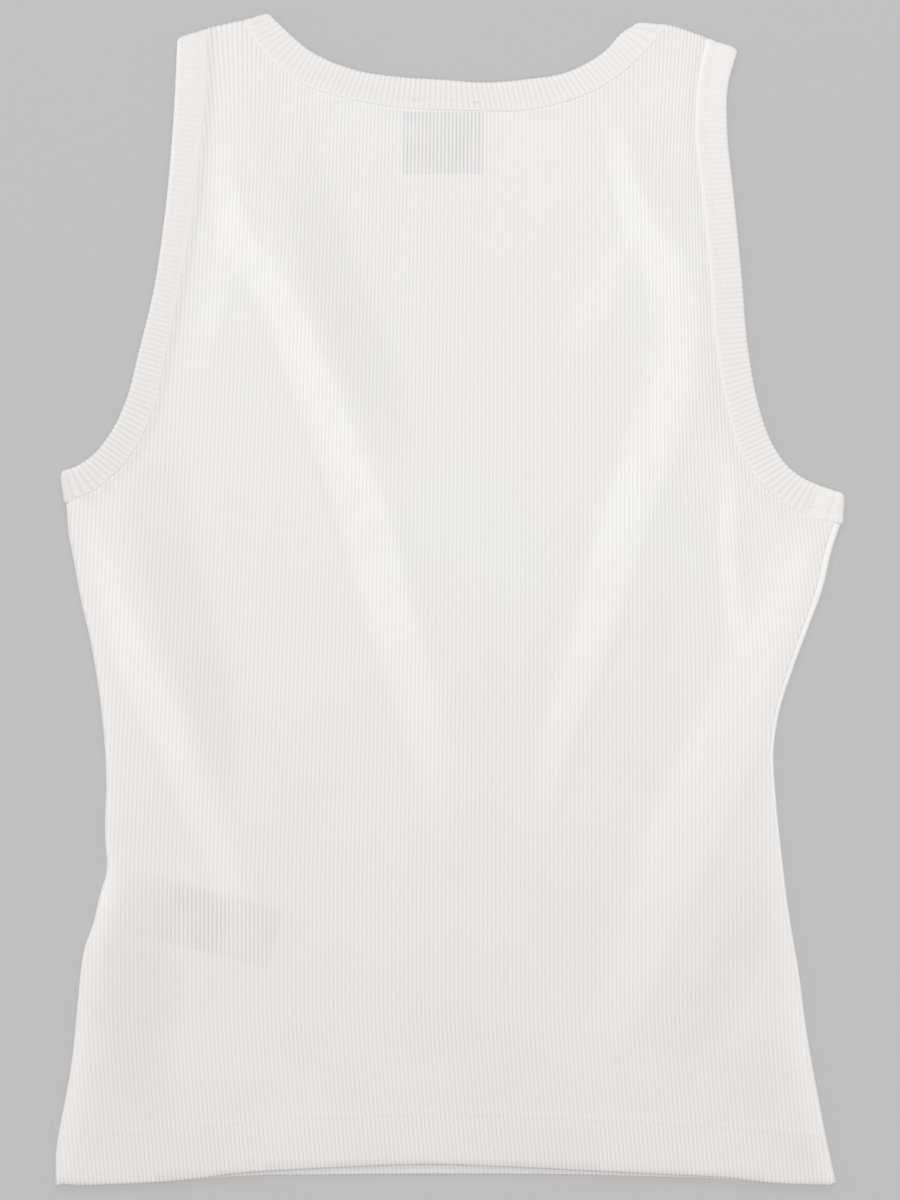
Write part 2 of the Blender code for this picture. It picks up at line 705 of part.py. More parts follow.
def back_panel(lines):
    """The back: ribs raised in its upper face, over a plain inner face."""
    outline, starts = outline_of(list(lines.values()))
    first = dict(zip(lines, starts))
    ribs = RibLines(outline[first["left side"]:], outline[first["right side"]:first["hem"]])
    places, ends = line_ends(outline, starts, ribs)
    upper, rises, chains = rib_chains(outline, places, ends, ribs)
    inner_places = plain_places(outline, starts)
    lower = inner_points(outline, [at_place(outline, place) for place in inner_places])
    points = np.vstack([
        np.column_stack([upper, back_top(*upper.T) + rises]),
        np.column_stack([lower, back_floor(*lower.T)]),
    ])
    first = len(upper)
    faces = triangles_in(upper, list(range(len(places))), chains)
    faces += [tuple(first + i for i in face)
              for face in triangles_in(lower, list(range(len(inner_places))), [])]
    high = [*zip(places, range(len(places))), (len(outline), 0)]
    low = [*zip(inner_places, range(first, first + len(inner_places))), (len(outline), first)]
    return closed_object("back_panel", points, faces + zipped(low, high), KNIT_COLOUR)


def clear_of(outline, x, y, distance):
    """Which points lie at least a distance from an outline's points."""
    gaps = np.hypot(outline[:, 0, None] - x, outline[:, 1, None] - y)
    return gaps.min(axis=0) >= distance


def front_panel(lines):
    """The front: flat where it lies, its sides and shoulder ends rolled up to meet the back."""
    outline, starts = outline_of(list(lines.values()))
    stretches = zip(lines, starts, starts[1:] + [len(outline)])
    rolled = [(ROLL[name], start + ROLL_CLEAR, stop - ROLL_CLEAR)
              for name, start, stop in stretches if name in ROLL]
    places = set(plain_places(outline, starts))
    places.update(place for _, *ends in rolled for place in ends)
    places = sorted(places)
    count = len(places)
    rim = np.array([at_place(outline, place) for place in places])
    flat = np.vstack([rim, flat_points(outline)])
    upper = len(flat)
    points = [(x, y, 0.0) for x, y in flat] + [(x, y, wall(y)) for x, y in flat]
    faces = []
    for face in triangles_in(flat, list(range(count)), []):
        faces += [face, tuple(upper + i for i in face)]
    ways = left_of(np.vstack([outline[-1:], outline, outline[:1]]))[1:-1]
    edges = {}
    for i, place in enumerate(places):
        edges[i] = [i, upper + i]
        for roll, start, stop in rolled:
            if start <= place <= stop:
                way = ways[round(place) % len(ways)]
                section = roll_section(rolled_radius(rim[i][1]), wall(rim[i][1]), roll)
                edges[i] = [i, *range(len(points), len(points) + len(section)), upper + i]
                points += [(*(rim[i] + way * out), height) for out, height in section]
    for i in range(count):
        one, two = edges[i], edges[(i + 1) % count]
        if len(one) == len(two):
            faces += [(a, b, d, c) for a, b, c, d in zip(one, one[1:], two, two[1:])]
            continue
        faces.append((one[0], two[0], two[-1], one[-1]))
        faces.append(max(one, two, key=len))
    return closed_object("front_panel", points, faces, KNIT_COLOUR)


def flat_points(outline):
    """Points inside a flat panel, and along the upper edge of its turned-up hem."""
    x = np.arange(FLAT_FROM[0], FLAT_TO[0], FLAT_STEP / 2)
    grid = [(a, b) for a in x[::2] for b in np.arange(FLAT_FROM[1], FLAT_TO[1], FLAT_STEP)]
    hem = [(a, b) for a in x for b in (HEM_LINE - HEM_STEP, HEM_LINE)]
    spots = np.array(grid + hem)
    inside = inside_loop(outline, spots) & clear_of(outline, *spots.T, FLAT_CLEAR_OF_EDGE)
    return spots[inside]


def roll_section(radius, thick, roll):
    """A rolled edge from the flat panel's lower face round to its upper face: outward
    distances and heights, over the outer arc, the lip and the inner arc."""
    turns = np.radians(np.linspace(0, 180, ROLL_STEPS + 1))[1:]
    section = [(radius * math.sin(t), radius - radius * math.cos(t)) for t in turns]
    if roll:
        section += [(-roll, 2 * radius), (-roll, 2 * radius - thick)]
    inner = radius - thick
    section += [(inner * math.sin(t), radius - inner * math.cos(t)) for t in turns[::-1]]
    return section


def inside_loop(outline, spots):
    """Which spots lie inside a closed outline, by counting the edges to their right."""
    x, y = spots[:, 0, None], spots[:, 1, None]
    ax, ay = outline.T
    bx, by = np.roll(outline, -1, axis=0).T
    spans = (ay > y) != (by > y)
    rise = np.where(by == ay, 1.0, by - ay)
    right_of = x < ax + (y - ay) / rise * (bx - ax)
    return (spans & right_of).sum(axis=1) % 2 == 1


# ---------------------------------------------------------------- labels

def label_object(name, label, lower_height, colour):
    """A blank label: a thin wall that follows the cloth it lies on."""
    c, s = math.cos(math.radians(label.tilt)), math.sin(math.radians(label.tilt))
    along = label.length * (np.linspace(0, 1, LABEL_STEPS[0] + 1) - 0.5)
    across = label.width * (np.linspace(0, 1, LABEL_STEPS[1] + 1) - 0.5)
    u, v = np.meshgrid(along, across)
    x, y = label.x + u * c - v * s, label.y + u * s + v * c
    low = lower_height(x, y)
    points = np.stack([np.tile(x.ravel(), 2), np.tile(y.ravel(), 2),
                       np.concatenate([low.ravel(), low.ravel() + LABEL])], axis=1)
    shape = (len(across), len(along))
    number = np.arange(x.size).reshape(shape)
    faces = []
    for i in range(shape[0] - 1):
        for j in range(shape[1] - 1):
            corners = number[i, j], number[i, j + 1], number[i + 1, j + 1], number[i + 1, j]
            faces += [corners, tuple(x.size + k for k in corners)]
    rim = [*number[0], *number[1:, -1], *number[-1, -2::-1], *number[-2:0:-1, 0]]
    faces += [(a, b, x.size + b, x.size + a) for a, b in zip(rim, rim[1:] + rim[:1])]
    return closed_object(name, points, faces, colour, roughness=0.6)


def main():
    """Clears the scene and builds the seven pieces."""
    for old in list(bpy.data.objects):
        bpy.data.objects.remove(old, do_unlink=True)
    collection = bpy.data.collections.new(GARMENT)
    bpy.context.scene.collection.children.link(collection)

    left = Strip(LEFT_ARMHOLE, deeper(LEFT_ARMHOLE, FRONT_ARMHOLE_DEEPER),
                 LEFT_SHOULDER_WAY, LEFT_UNDERARM_WAY)
    right = Strip(RIGHT_ARMHOLE, deeper(RIGHT_ARMHOLE, FRONT_ARMHOLE_DEEPER),
                  RIGHT_SHOULDER_WAY, RIGHT_UNDERARM_WAY)
    neck = Strip(BACK_NECK, front_neck_rows(), LEFT_SHOULDER_WAY, RIGHT_SHOULDER_WAY)
    back_panel(panel_lines(left.back, neck.back, right.back, BACK_HEM, front=False))
    front_panel(panel_lines(left.front, neck.front, right.front, FRONT_HEM, front=True))
    neck.build("neck_binding")
    left.build("armhole_binding_left")
    right.build("armhole_binding_right")
    label_object("neck_label", NECK_LABEL,
                 lambda x, y: back_floor(x, y) - SEAM_GAP - LABEL, LABEL_COLOUR)
    label_object("care_label", CARE_LABEL,
                 lambda x, y: np.full_like(x, CLOTH + SEAM_GAP), CARE_COLOUR)


main()
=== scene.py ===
"""The looks of a fitted rib-knit tank top that lies flat on its front, its back facing up.

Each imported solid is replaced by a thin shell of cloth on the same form, with its ribs, folds,
seams and stitching. The tables and functions are in millimetres and the finished meshes in
metres, +Z up, +Y to the neck. Outlines run clockwise seen from above, so a line moved to its
left moves away from the cloth.
"""

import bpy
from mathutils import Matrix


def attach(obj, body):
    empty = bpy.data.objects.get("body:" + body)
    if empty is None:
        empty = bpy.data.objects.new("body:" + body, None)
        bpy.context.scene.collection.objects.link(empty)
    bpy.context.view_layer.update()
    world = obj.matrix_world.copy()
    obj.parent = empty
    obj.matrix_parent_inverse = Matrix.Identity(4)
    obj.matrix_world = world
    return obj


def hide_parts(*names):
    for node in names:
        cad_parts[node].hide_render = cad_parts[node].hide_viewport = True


bl_info = {
    "name": "Laid Rib-Knit Tank Top",
    "version": (1, 0, 0),
    "blender": (4, 5, 0),
    "location": "View3D > Sidebar > Tank Top",
    "description": "Cloth shells, stitching, labels and stage for a tank top laid flat",
    "category": "Add Mesh",
}

import math
from collections import namedtuple
from functools import partial

import bpy
import numpy as np
from bpy.props import FloatProperty, FloatVectorProperty, PointerProperty
from bpy.types import Operator, Panel, PropertyGroup
from mathutils import Vector
from mathutils.geometry import delaunay_2d_cdt

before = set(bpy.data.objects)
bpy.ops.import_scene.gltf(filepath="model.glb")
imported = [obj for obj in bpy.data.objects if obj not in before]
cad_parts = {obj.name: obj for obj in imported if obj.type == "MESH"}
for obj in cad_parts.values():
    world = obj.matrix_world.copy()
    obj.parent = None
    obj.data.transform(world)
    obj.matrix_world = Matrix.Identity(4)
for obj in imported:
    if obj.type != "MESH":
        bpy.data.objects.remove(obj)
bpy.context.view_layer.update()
MM = 0.001

# The solids' sizes, in millimetres
CLOTH = 1.3
RIB_HEIGHT_IN_SOLID = 0.5
RIBS_AT_WAIST = 158
BINDING = 2.2
BINDING_RIB_PITCH = 2.5
SEAM_GAP_IN_SOLID = 0.35
LAYER_GAP = 0.5
BINDING_LAYER_GAP = 0.4
FLOOR_ON_FRONT = CLOTH + LAYER_GAP
FLOOR_ON_STRIPS = BINDING + 0.8
HEM_LINE = -265.0
HEM_STEP = 4.0
LOWEST_LINE = -105.0
CHEST_LINE = 45.0
LINE_STEP = 1.5

# The garment's edge at the sides, from the underarm to the hem: y, x
LEFT_SIDE = (
    (47.75, -192.0), (34, -191.2), (19, -188.5), (-1, -184.8), (-21, -180.2),
    (-46, -176.0), (-71, -173.2), (-96, -172.3), (-112, -172.9), (-124, -172.6),
    (-133, -171.9), (-139, -172.6), (-145, -174.6), (-154, -176.8), (-161, -178.4),
    (-168, -180.8), (-174, -183.0), (-181, -184.3), (-201, -186.5), (-231, -189.5),
    (-251, -192.9), (-268, -196.2), (-276, -197.3), (-290, -197.4),
)
RIGHT_SIDE = (
    (37.25, 195.5), (24, 191.3), (4, 186.4), (-16, 179.1), (-36, 171.6),
    (-56, 165.2), (-76, 162.2), (-96, 163.0), (-126, 166.0), (-156, 169.7),
    (-186, 174.7), (-216, 178.7), (-246, 184.0), (-266, 187.8), (-291, 193.1),
)

# The hems, from left to right, and the middle of the hem's two rows of stitching: x, y
BACK_HEM = (
    (-195.0, -292.0), (-190.0, -292.5), (-167.5, -292.3), (-129.5, -289.8), (-105.5, -286.8),
    (-75.0, -284.8), (-41.5, -283.2), (-13.0, -282.3), (20.5, -283.2), (59.0, -285.0),
    (103.5, -287.2), (136.0, -288.8), (161.0, -291.6), (191.0, -292.8),
)
FRONT_HEM = (
    (-193.0, -292.8), (-167.5, -292.8), (-129.5, -290.6), (-105.5, -288.6), (-60.0, -287.7),
    (0.0, -287.3), (60.0, -287.7), (103.5, -288.8), (136.0, -290.0), (161.0, -292.0),
    (188.0, -292.7),
)
HEM_STITCHING = (
    (-200.0, -269.6), (-190.5, -268.8), (-158.0, -265.8), (-129.5, -263.3), (-81.5, -259.3),
    (0.0, -256.3), (75.0, -259.8), (103.5, -261.3), (142.0, -263.8), (170.5, -266.8),
    (200.0, -269.0),
)

# Sections across the folded strips: edge x, edge y, seam x, seam y. The edge is the
# opening's, and the seam is the one with the panel.
LEFT_ARMHOLE = (  # from the shoulder to the underarm
    (-137.0, 280.2, -121.5, 285.0), (-137.0, 260.8, -121.0, 260.8), (-139.0, 227.8, -124.0, 225.8),
    (-143.0, 187.2, -129.0, 184.8), (-148.6, 151.2, -136.0, 147.8), (-155.2, 124.2, -141.5, 120.8),
    (-161.9, 98.8, -148.2, 92.8), (-168.4, 84.6, -156.0, 76.2), (-180.4, 70.0, -169.0, 60.6),
    (-187.6, 65.6, -179.0, 52.8), (-195.4, 63.6, -193.1, 47.6),
)
RIGHT_ARMHOLE = (
    (144.1, 275.0, 128.5, 280.2), (139.0, 256.8, 124.0, 261.2), (138.5, 234.2, 122.2, 235.2),
    (141.5, 204.2, 125.5, 202.8), (145.5, 164.2, 129.5, 162.8), (149.0, 124.2, 133.0, 122.2),
    (153.5, 99.2, 138.5, 92.8), (161.5, 76.2, 146.5, 69.0), (168.5, 66.2, 155.0, 57.4),
    (177.0, 59.8, 167.0, 46.9), (186.0, 56.0, 181.0, 40.0), (197.6, 52.8, 196.6, 37.2),
)
BACK_NECK = (  # from the left shoulder to the right
    (-90.0, 293.2, -103.5, 289.2), (-82.5, 284.2, -96.0, 275.8), (-71.0, 274.2, -80.0, 260.5),
    (-47.0, 263.9, -53.0, 249.8), (-24.0, 260.3, -26.0, 245.0), (0.0, 258.8, 0.0, 243.5),
    (12.5, 257.7, 15.0, 243.2), (36.5, 259.1, 40.0, 243.8), (60.5, 263.6, 69.0, 251.8),
    (77.5, 273.5, 87.5, 263.2), (87.2, 283.6, 100.0, 275.5), (92.0, 288.2, 109.0, 287.0),
)
FRONT_NECK_HALF = (  # from below the right shoulder to the middle of the front
    (88.0, 262.0, 103.0, 258.5), (81.0, 230.0, 95.5, 225.5), (70.5, 196.0, 84.0, 188.5),
    (52.0, 166.0, 62.0, 153.5), (27.0, 148.0, 31.5, 132.5), (0.0, 141.5, 0.0, 126.0),
)
FRONT_ARMHOLE_DEEPER = 6.0

# Which way each fold at a strip's end faces
LEFT_SHOULDER_WAY = (-0.27, 0.963)
RIGHT_SHOULDER_WAY = (0.30, 0.954)
LEFT_UNDERARM_WAY = (-0.988, -0.154)
RIGHT_UNDERARM_WAY = (0.998, -0.064)

# How far the front rolls on to the back past its rounded sides: y, distance
LEFT_ROLL = ((-293, 0.3), (-265, 0.0), (-180, 0.5), (-145, 0.0), (60, 0.0))
RIGHT_ROLL = ((-293, 0.3), (-200, 0.4), (-90, 0.7), (-40, 1.3), (0, 2.0), (25, 2.3), (45, 1.5))
ROLL_IN_SOLID = {"left side": 0.0, "right side": 1.5}
SHOULDER_TURN = math.radians(150)  # how far the back's cloth goes round the shoulder's fold
SHOULDER_POINTS = 20
FRONT_PAST_SHOULDER = 0.3

# Where the ribs lean: x per y, from no lean at one x to full lean at another, and from one
# y on, upwards or downwards
Lean = namedtuple("Lean", "lean x_with_none x_with_all start way")
LEANS = (
    Lean(0.23, -85, -140, 215, 1),
    Lean(-0.22, 85, 145, 200, 1),
    Lean(0.13, 90, 190, -40, 1),
    Lean(-0.05, 60, -150, -150, 1),
    Lean(0.10, -500, -400, -200, -1),
)
LEAN_SOFTNESS = 30.0  # a lean comes in over about this length

# Soft folds in the back: the half width at their first end and their last, and the places
# that each crest passes
Fold = namedtuple("Fold", "first_half last_half height places")
FOLDS = (
    Fold(12, 24, 2.4, ((-115, 240), (-110, 188), (-87, 149), (-66, 101), (-45, 47), (-27, -13),
                       (-9, -67), (4, -122))),
    Fold(10, 16, 1.6, ((80, 240), (87, 209), (94, 186), (105, 166), (116, 132))),
    Fold(24, 12, 1.9, ((102, 178), (113, 143), (110, 107), (99, 71), (86, 35), (75, -7), (63, -43),
                       (50, -85), (44, -124))),
    Fold(18, 14, 1.7, ((-188, 50), (-171, -1), (-156, -37), (-141, -67), (-126, -103), (-112, -140),
                       (-103, -176))),
    Fold(36, 20, 2.0, ((190, 44), (174, 5), (159, -31), (138, -73), (123, -103), (108, -139),
                       (96, -175), (84, -205), (70, -234))),
    Fold(12, 12, 0.9, ((-110, 196), (-117, 149), (-130, 104))),
    Fold(8, 8, 1.0, ((140, 72), (138, 29), (142, -24))),
)
FOLD_TOP = 0.2  # the share of a fold's half width that is its flat top
FOLD_ENDS = (0.02, 0.98)  # its height at its ends is what it would be at these shares
FOLD_TAPER = 0.6
# Finer creases on the same cloth; a negative height is a trough
BACK_CREASES = (
    Fold(8, 8, -1.0, ((128, 166), (132, 122), (135, 76))),
    Fold(16, 30, -0.6, ((162, -128), (135, -196), (96, -240))),
    Fold(28, 18, -0.95, ((-152, 92), (-146, 38), (-132, -10), (-120, -60), (-116, -128))),
    Fold(12, 15, -0.7, ((-26, 44), (-14, -16), (-1, -62), (10, -112))),
    Fold(20, 26, -0.9, ((-94, 262), (-72, 200), (-44, 120), (-24, 60))),
    Fold(26, 32, -0.9, ((-152, -130), (-156, -206), (-158, -278))),
    Fold(12, 14, -0.35, ((-97, -112), (-92, -160), (-84, -196))),
    Fold(12, 14, -0.3, ((112, 50), (106, -10), (92, -60))),
    Fold(14, 20, 0.8, ((92, 192), (76, 156), (56, 112))),
    Fold(9, 9, 0.6, ((141, 84), (140, 24), (144, -36))),
    Fold(14, 12, 0.6, ((188, 40), (178, 8), (166, -28))),
    Fold(9, 13, 0.35, ((-16, 214), (-20, 160), (-8, 104))),
    Fold(10, 9, 0.3, ((26, 206), (32, 150), (24, 100))),
    Fold(8, 12, 0.4, ((-72, 268), (-80, 226), (-74, 190))),
    Fold(10, 14, 0.4, ((-70, -150), (-58, -200), (-50, -246))),
    Fold(12, 12, 0.3, ((10, -170), (22, -212), (16, -250))),
    Fold(10, 10, -0.35, ((70, 60), (58, 10), (40, -40))),
    Fold(12, 10, 0.3, ((-96, -10), (-84, -60), (-70, -110))),
    Fold(12, 9, 0.35, ((-150, -222), (-112, -236), (-70, -240))),
    Fold(14, 18, 0.9, ((168, -120), (174, -180), (180, -262))),
    Fold(9, 14, 0.8, ((118, 282), (117, 240), (122, 192))),
)
# Shallow creases in the front, which lift it off the floor
FRONT_CREASES = (
    Fold(16, 16, 0.32, ((-110, 210), (-92, 120), (-60, 30), (-40, -60))),
    Fold(14, 14, 0.28, ((118, 200), (96, 110), (84, 20), (52, -90))),
    Fold(18, 18, 0.30, ((-168, 20), (-130, -70), (-112, -170))),
    Fold(16, 16, 0.26, ((172, 10), (140, -80), (96, -190))),
    Fold(12, 12, 0.22, ((-20, 100), (-12, 30), (6, -40))),
    Fold(12, 12, 0.24, ((20, -120), (34, -180), (28, -240))),
)
SEAM_HOLDS = 7.0  # the folds are held down over this width beside a seam

# Labels: x and y are the middle's, and the tilt is in degrees
Label = namedtuple("Label", "x y length width tilt")
NECK_LABEL = Label(-3.5, 227.4, 40.0, 31.0, 0.0)
CARE_LABEL = Label(-122.0, -161.0, 72.0, 30.0, -15.0)
LABEL_WALL = 0.5
LABEL_BELOW_BACK = 0.15
LABEL_ON_FRONT = CLOTH + 0.6
LABEL_RISE = 0.45  # how far the care label lifts the back
LABEL_RISE_MARGIN = (1.0, 16.0)  # past the label: flat, and the slope's length

# The panels' shells: how far an edge runs in under the strip or panel it is sewn to, how much
# of the dip beside a seam is there, and how dark the painted shadow beside it is
SEAM_TUCK = {"left side": 0.85, "right side": 0.55}
OTHER_TUCK = 0.8
SEAM_DIP = {"left armhole": 1.0, "neck": 1.0, "right armhole": 1.0, "right side": 0.8,
            "left side": 0.1}
SEAM_SHADE = {"left armhole": 1.0, "neck": 0.3, "right armhole": 0.3}
EDGE_ROUND = 0.45  # how far a shell's cut edge or fold stands out past its faces
HEM_SCALLOP = 0.45  # how much further a rib's end does at the hem
EDGE_ROWS = ((0.30, 0.86), (0.0, 0.5), (0.30, 0.14))  # shares: set in, and of the wall's height
BACK_PHASES = (-0.5, -0.27, 0.0, 0.27)  # the lattice's columns across one rib
FRONT_PHASES = (-0.5, -0.2, 0.2)
BACK_ROW = 5.5  # the lattice's rows
FRONT_ROW = 8.0
ROWS_FROM_TO = (-296, 300)
FINE_ROW = 1.25
FINE_ROWS_FROM_TO = (-273.0, -252.0)  # at the hem's stitching
ROLL_ROW = 0.8
ROLL_ROWS_FROM_TO = (276.0, 300.0)  # at the shoulders' folds
ROLL_STEPS = 9  # the rows round the front's rolled sides
ROW_WEIGHT = 0.3 / LINE_STEP  # what a millimetre along the ribs counts for in the lattice's space
INNER_STEP = 9.0  # the spacing of the points on a shell's plain inner face
CLEAR_OF_RING = 0.35  # the least gaps between the points of a lattice or grid and other points
CLEAR_OF_OUTLINE = 0.2
CLEAR_OF_ROLL = 0.9
CLEAR_OF_HEM = 2
INNER_CLEAR = 1.0
TURN_REACH = 16.0  # cloth that turns over an edge lies within this of its fold line
TURN_STEP = 0.5
HEM_INNER = 1.15  # the turned-up layer's thickness
HEM_BAND = 30.0  # the depth and length of the turned-up hem
HEM_LENGTH = 385.0
COURSE = 0.9  # the height of one row of knit stitches

# The relief of the panels: heights and depths, and half widths of what lies along an edge
UNEVEN = 0.05
FOLDS_HELD = 0.75  # the share of its height that a fold loses at a seam
SEAM_SINK, SEAM_SINK_WIDTH = 0.10, 1.8
EDGE_SINK, EDGE_WIDTH = 0.5, 1.2  # at the hem's edge; a rib loses the same share at a seam
STITCH_ROWS = (-2.0, 2.0)  # the hem's two rows of stitches, from the middle of its stitching
ROW_DIP_WIDTH, SWELL_WIDTH, SWELL_SHARE = 0.8, 1.4, 0.35
BACK_ROW_DIP, FRONT_ROW_DIP = 0.22, 0.2
BAND_SWELL, BAND_RIBS = 0.10, 0.45  # the back's turned-up hem stands out, and its ribs more
BAND_SHIFT = -5  # how far its upper edge is from the stitching
RIB_UNEVEN = 0.12  # the share by which the ribs' height varies
FRONT_GROOVE = 0.45  # height of the grooves in the front's outer face, above the floor
FRONT_RIB, FRONT_INNER_RIB = 0.42, 0.35
FRONT_HELD = 0.9  # the share of its height that a crease loses at a seam
FRONT_WALL = 0.67  # the share of the wall that is above the grooves
FRONT_EDGE_SINK, FRONT_EDGE_WIDTH = 0.3, 1.5
LEAST_HEIGHT = 0.02  # above the floor
ON_ROLL = (15.0, 7.0)  # the front's cloth comes into sight between these gaps from its edge
ROLL_SMOOTH, BACK_SMOOTH, BACK_SMOOTH_Y = 0.8, 0.5, (0.0, -140.0)

# Painted light and shade on the panels' cloth, in the units of their "lift" values: painted
# light on the folds' crests, and painted shade in their troughs
LIT_HEIGHTS, SHADED_DEPTH = (0.15, 1.5), 0.9
FADE_Y, FADE = (-160.0, 20.0), (0.75, 1.0)  # raised places are less light towards the hem
TROUGH_PAINTED_SHADE = 0.8
# Painted light on the hem's turned-up band, and the painted shadow beside a seam with its half width
BAND_PAINTED_LIGHT, SEAM_PAINTED_SHADOW, SEAM_SHADOW_WIDTH = 0.25, 1.5, 2.0
# Painted light along the side seams, from about the waist down
SIDE_PAINTED_LIGHT, SIDE_LIGHT_WIDTH, SIDE_LIGHT_Y = 0.4, 5.0, (30.0, -20.0)
# Painted light on the front's rolled sides
ROLL_PAINTED_LIGHT = 1.2

# The strips' shells: a section's share of the width from the seam, of the depth, and of a
# rib's height
StripRow = namedtuple("StripRow", "share depth rib")
STRIP_ROWS = (
    StripRow(0.02, 0.00, 0.0), StripRow(-0.004, 0.30, 0.0), StripRow(-0.004, 0.70, 0.1),
    StripRow(0.025, 0.92, 0.3), StripRow(0.07, 1.03, 0.6), StripRow(0.14, 1.04, 0.9),
    StripRow(0.22, 1.02, 0.95), StripRow(0.27, 0.98, 0.9), StripRow(0.31, 0.95, 0.8),
    StripRow(0.35, 0.98, 0.9), StripRow(0.41, 1.00, 1.0), StripRow(0.54, 1.02, 1.0),
    StripRow(0.70, 1.02, 1.0), StripRow(0.84, 1.00, 1.0), StripRow(0.92, 0.93, 1.0),
    StripRow(0.975, 0.74, 1.0), StripRow(1.00, 0.47, 1.0), StripRow(0.99, 0.22, 0.8),
    StripRow(0.95, 0.06, 0.4), StripRow(0.88, 0.00, 0.0),
)
STRIP_COLUMNS = 6  # across one rib
STRIP_LOOPS = 15.0 / COURSE  # the rows of knit stitches across a strip
STITCHED_SHARE = 0.31  # where the topstitching runs
STITCH_DIP, STITCH_PAINTED_SHADE, STITCH_DIP_WIDTH = 0.12, 0.5, 0.04  # the dip between two stitches, its painted shade, and its half width
LIP_SHARE, LIP_WIDTH = 0.04, 0.05  # where a strip has a painted highlight beside its seam
RIM_HIGHLIGHT_SHARES = (0.86, 0.97)  # and along its folded edge
RIBS_END = 0.45  # how steep a fold is where the ribs have died away on it
FRONT_LENGTH_DEPTH = 1.75  # a strip's thickness on the front, so that its ribs clear the floor
# How a strip changes from its start to its middle and its end: its ribs' relief, its painted
# highlight beside its seam and along its folded edge, its painted light or shade all over, and
# how far its closing seams are from its end
Trim = namedtuple("Trim", "relief lip rim pale joins")
TRIMS = {
    "left_armhole": Trim((0.5, 0.6, 1.2), (0.0, 0.2, 0.5), (2.8, 2.4, 1.0),
                         (0.0, -0.35, -0.35), ()),
    "neck": Trim((0.8, 1.2, 0.8), (2.0, 0.6, 0.4), (0.5, 0.2, 0.5), (0.0, 0.3, 0.6), ()),
    "right_armhole": Trim((0.5, 0.7, 1.2), (2.0, 1.8, 0.8), (0.5, 0.5, 0.5),
                          (0.5, -0.1, 0.6), (11.5, 4.0)),
}
JOIN_HALF, JOIN_DEPTH, JOIN_SLANT = 0.7, 0.25, 2.0  # a closing seam's half width, dip and slant
PAST_JOIN = 0.9  # the share of its height that a rib loses past a closing seam

# The stage; the sensor is the camera's own
FLOOR_HALF, FLOOR_HEIGHT, CAMERA_Y, SENSOR = 2500.0, -0.2, -0.75, 36.0

# Sewing thread
ALONG = np.linspace(-1, 1, 5)  # the places along a stitch that its path goes through
THREAD_ENDS = (0.5, 1.0, 1.0, 1.0, 0.5)  # a thread's radius there
BAR_TACKS = (-18.5, 14.0)  # x of the two tacks on the back neck
TACK_THREADS, TACK_SPACING, TACK_REACH = 11, 0.26, 0.07
SIDE_STITCHED = (-75.0, 36.0)  # the y between which the right side's seam shows its stitches
SIDE_STITCH = 0.7  # half of one's length each way
HEM_STITCHED = (-186, 182)  # the x between which a hem's stitches show
STITCH_HALF, STRIP_STITCH_HALF = 0.42, 0.4  # half a stitch's length, as a share of the pitch
# How far stitches bow out of the cloth and sink into it at their ends, and how far their
# middles are from what they are sewn through
HEM_BOW, HEM_SINK, FRONT_STITCHES, BACK_STITCHES = 0.10, 0.2, 0.30, -0.12
SIDE_BOW, SIDE_SINK, SIDE_STITCHES = 0.15, 0.3, 0.10
STRIP_BOW, STRIP_SINK, STRIP_STITCHES = 0.20, 0.08, BINDING * 0.95
TACK_BOW, TACK_TOP = 0.30, 0.14
LOOSE_END = (
    (-194.6, -264.9, 2.6), (-195.6, -264.7, 3.2), (-196.6, -264.3, 2.9), (-197.3, -263.7, 2.2),
    (-197.9, -262.9, 1.9),
)

# Small pits in the back at the loose end
Pucker = namedtuple("Pucker", "x y half_width depth")
PUCKERS = (Pucker(-193.4, -272.6, 0.9, 0.5), Pucker(-191.8, -274.2, 0.8, 0.4))

# Painted light on places of the back, or painted shade where the strength is negative
PaintedPatch = namedtuple("PaintedPatch", "x y half_width half_length strength")
PAINTED_PATCHES = (
    PaintedPatch(-172.0, -145.0, 6.0, 12.0, 1.2), PaintedPatch(-178.0, -160.0, 5.0, 14.0, 0.8),
    PaintedPatch(-188.0, -225.0, 5.0, 40.0, 0.5), PaintedPatch(-174.0, -270.0, 12.0, 12.0, -0.5),
    PaintedPatch(176.0, -277.0, 8.0, 9.0, -0.5), PaintedPatch(176.0, -235.0, 7.0, 36.0, 0.5),
)


# ---------------------------------------------------------------- lines and outlines

def unit(way):
    """Directions of length 1."""
    way = np.asarray(way, float)
    return way / np.linalg.norm(way, axis=-1, keepdims=True)


def read_at(line, given, wanted):
    """A line's points at the wanted places, read between those given for its own points."""
    return np.stack([np.interp(wanted, given, axis) for axis in line.T], axis=-1)


def run_along(points):
    """How far along its line each point lies."""
    steps = np.linalg.norm(np.diff(points[:, :2], axis=0), axis=1)
    return np.concatenate([[0.0], np.cumsum(steps)])


def flowing(rows, step=LINE_STEP):
    """The rows of a table joined by a smooth curve (cubic, with slopes from the neighbours)."""
    rows = np.asarray(rows, float)
    run = run_along(rows)
    slope = np.gradient(rows, run, axis=0)
    place = np.linspace(0.0, run[-1], int(run[-1] / step) + 2)
    i = np.clip(np.searchsorted(run, place, side="right") - 1, 0, len(run) - 2)
    length = (run[i + 1] - run[i])[:, None]
    t = (place - run[i])[:, None] / length
    return (
        (2 * t**3 - 3 * t**2 + 1) * rows[i]
        + (t**3 - 2 * t**2 + t) * length * slope[i]
        + (3 * t**2 - 2 * t**3) * rows[i + 1]
        + (t**3 - t**2) * length * slope[i + 1]
    )


def left_of(line):
    """The unit direction to the left of a line at each of its points."""
    along = unit(np.gradient(line, axis=0))
    return np.stack([-along[:, 1], along[:, 0]], axis=1)


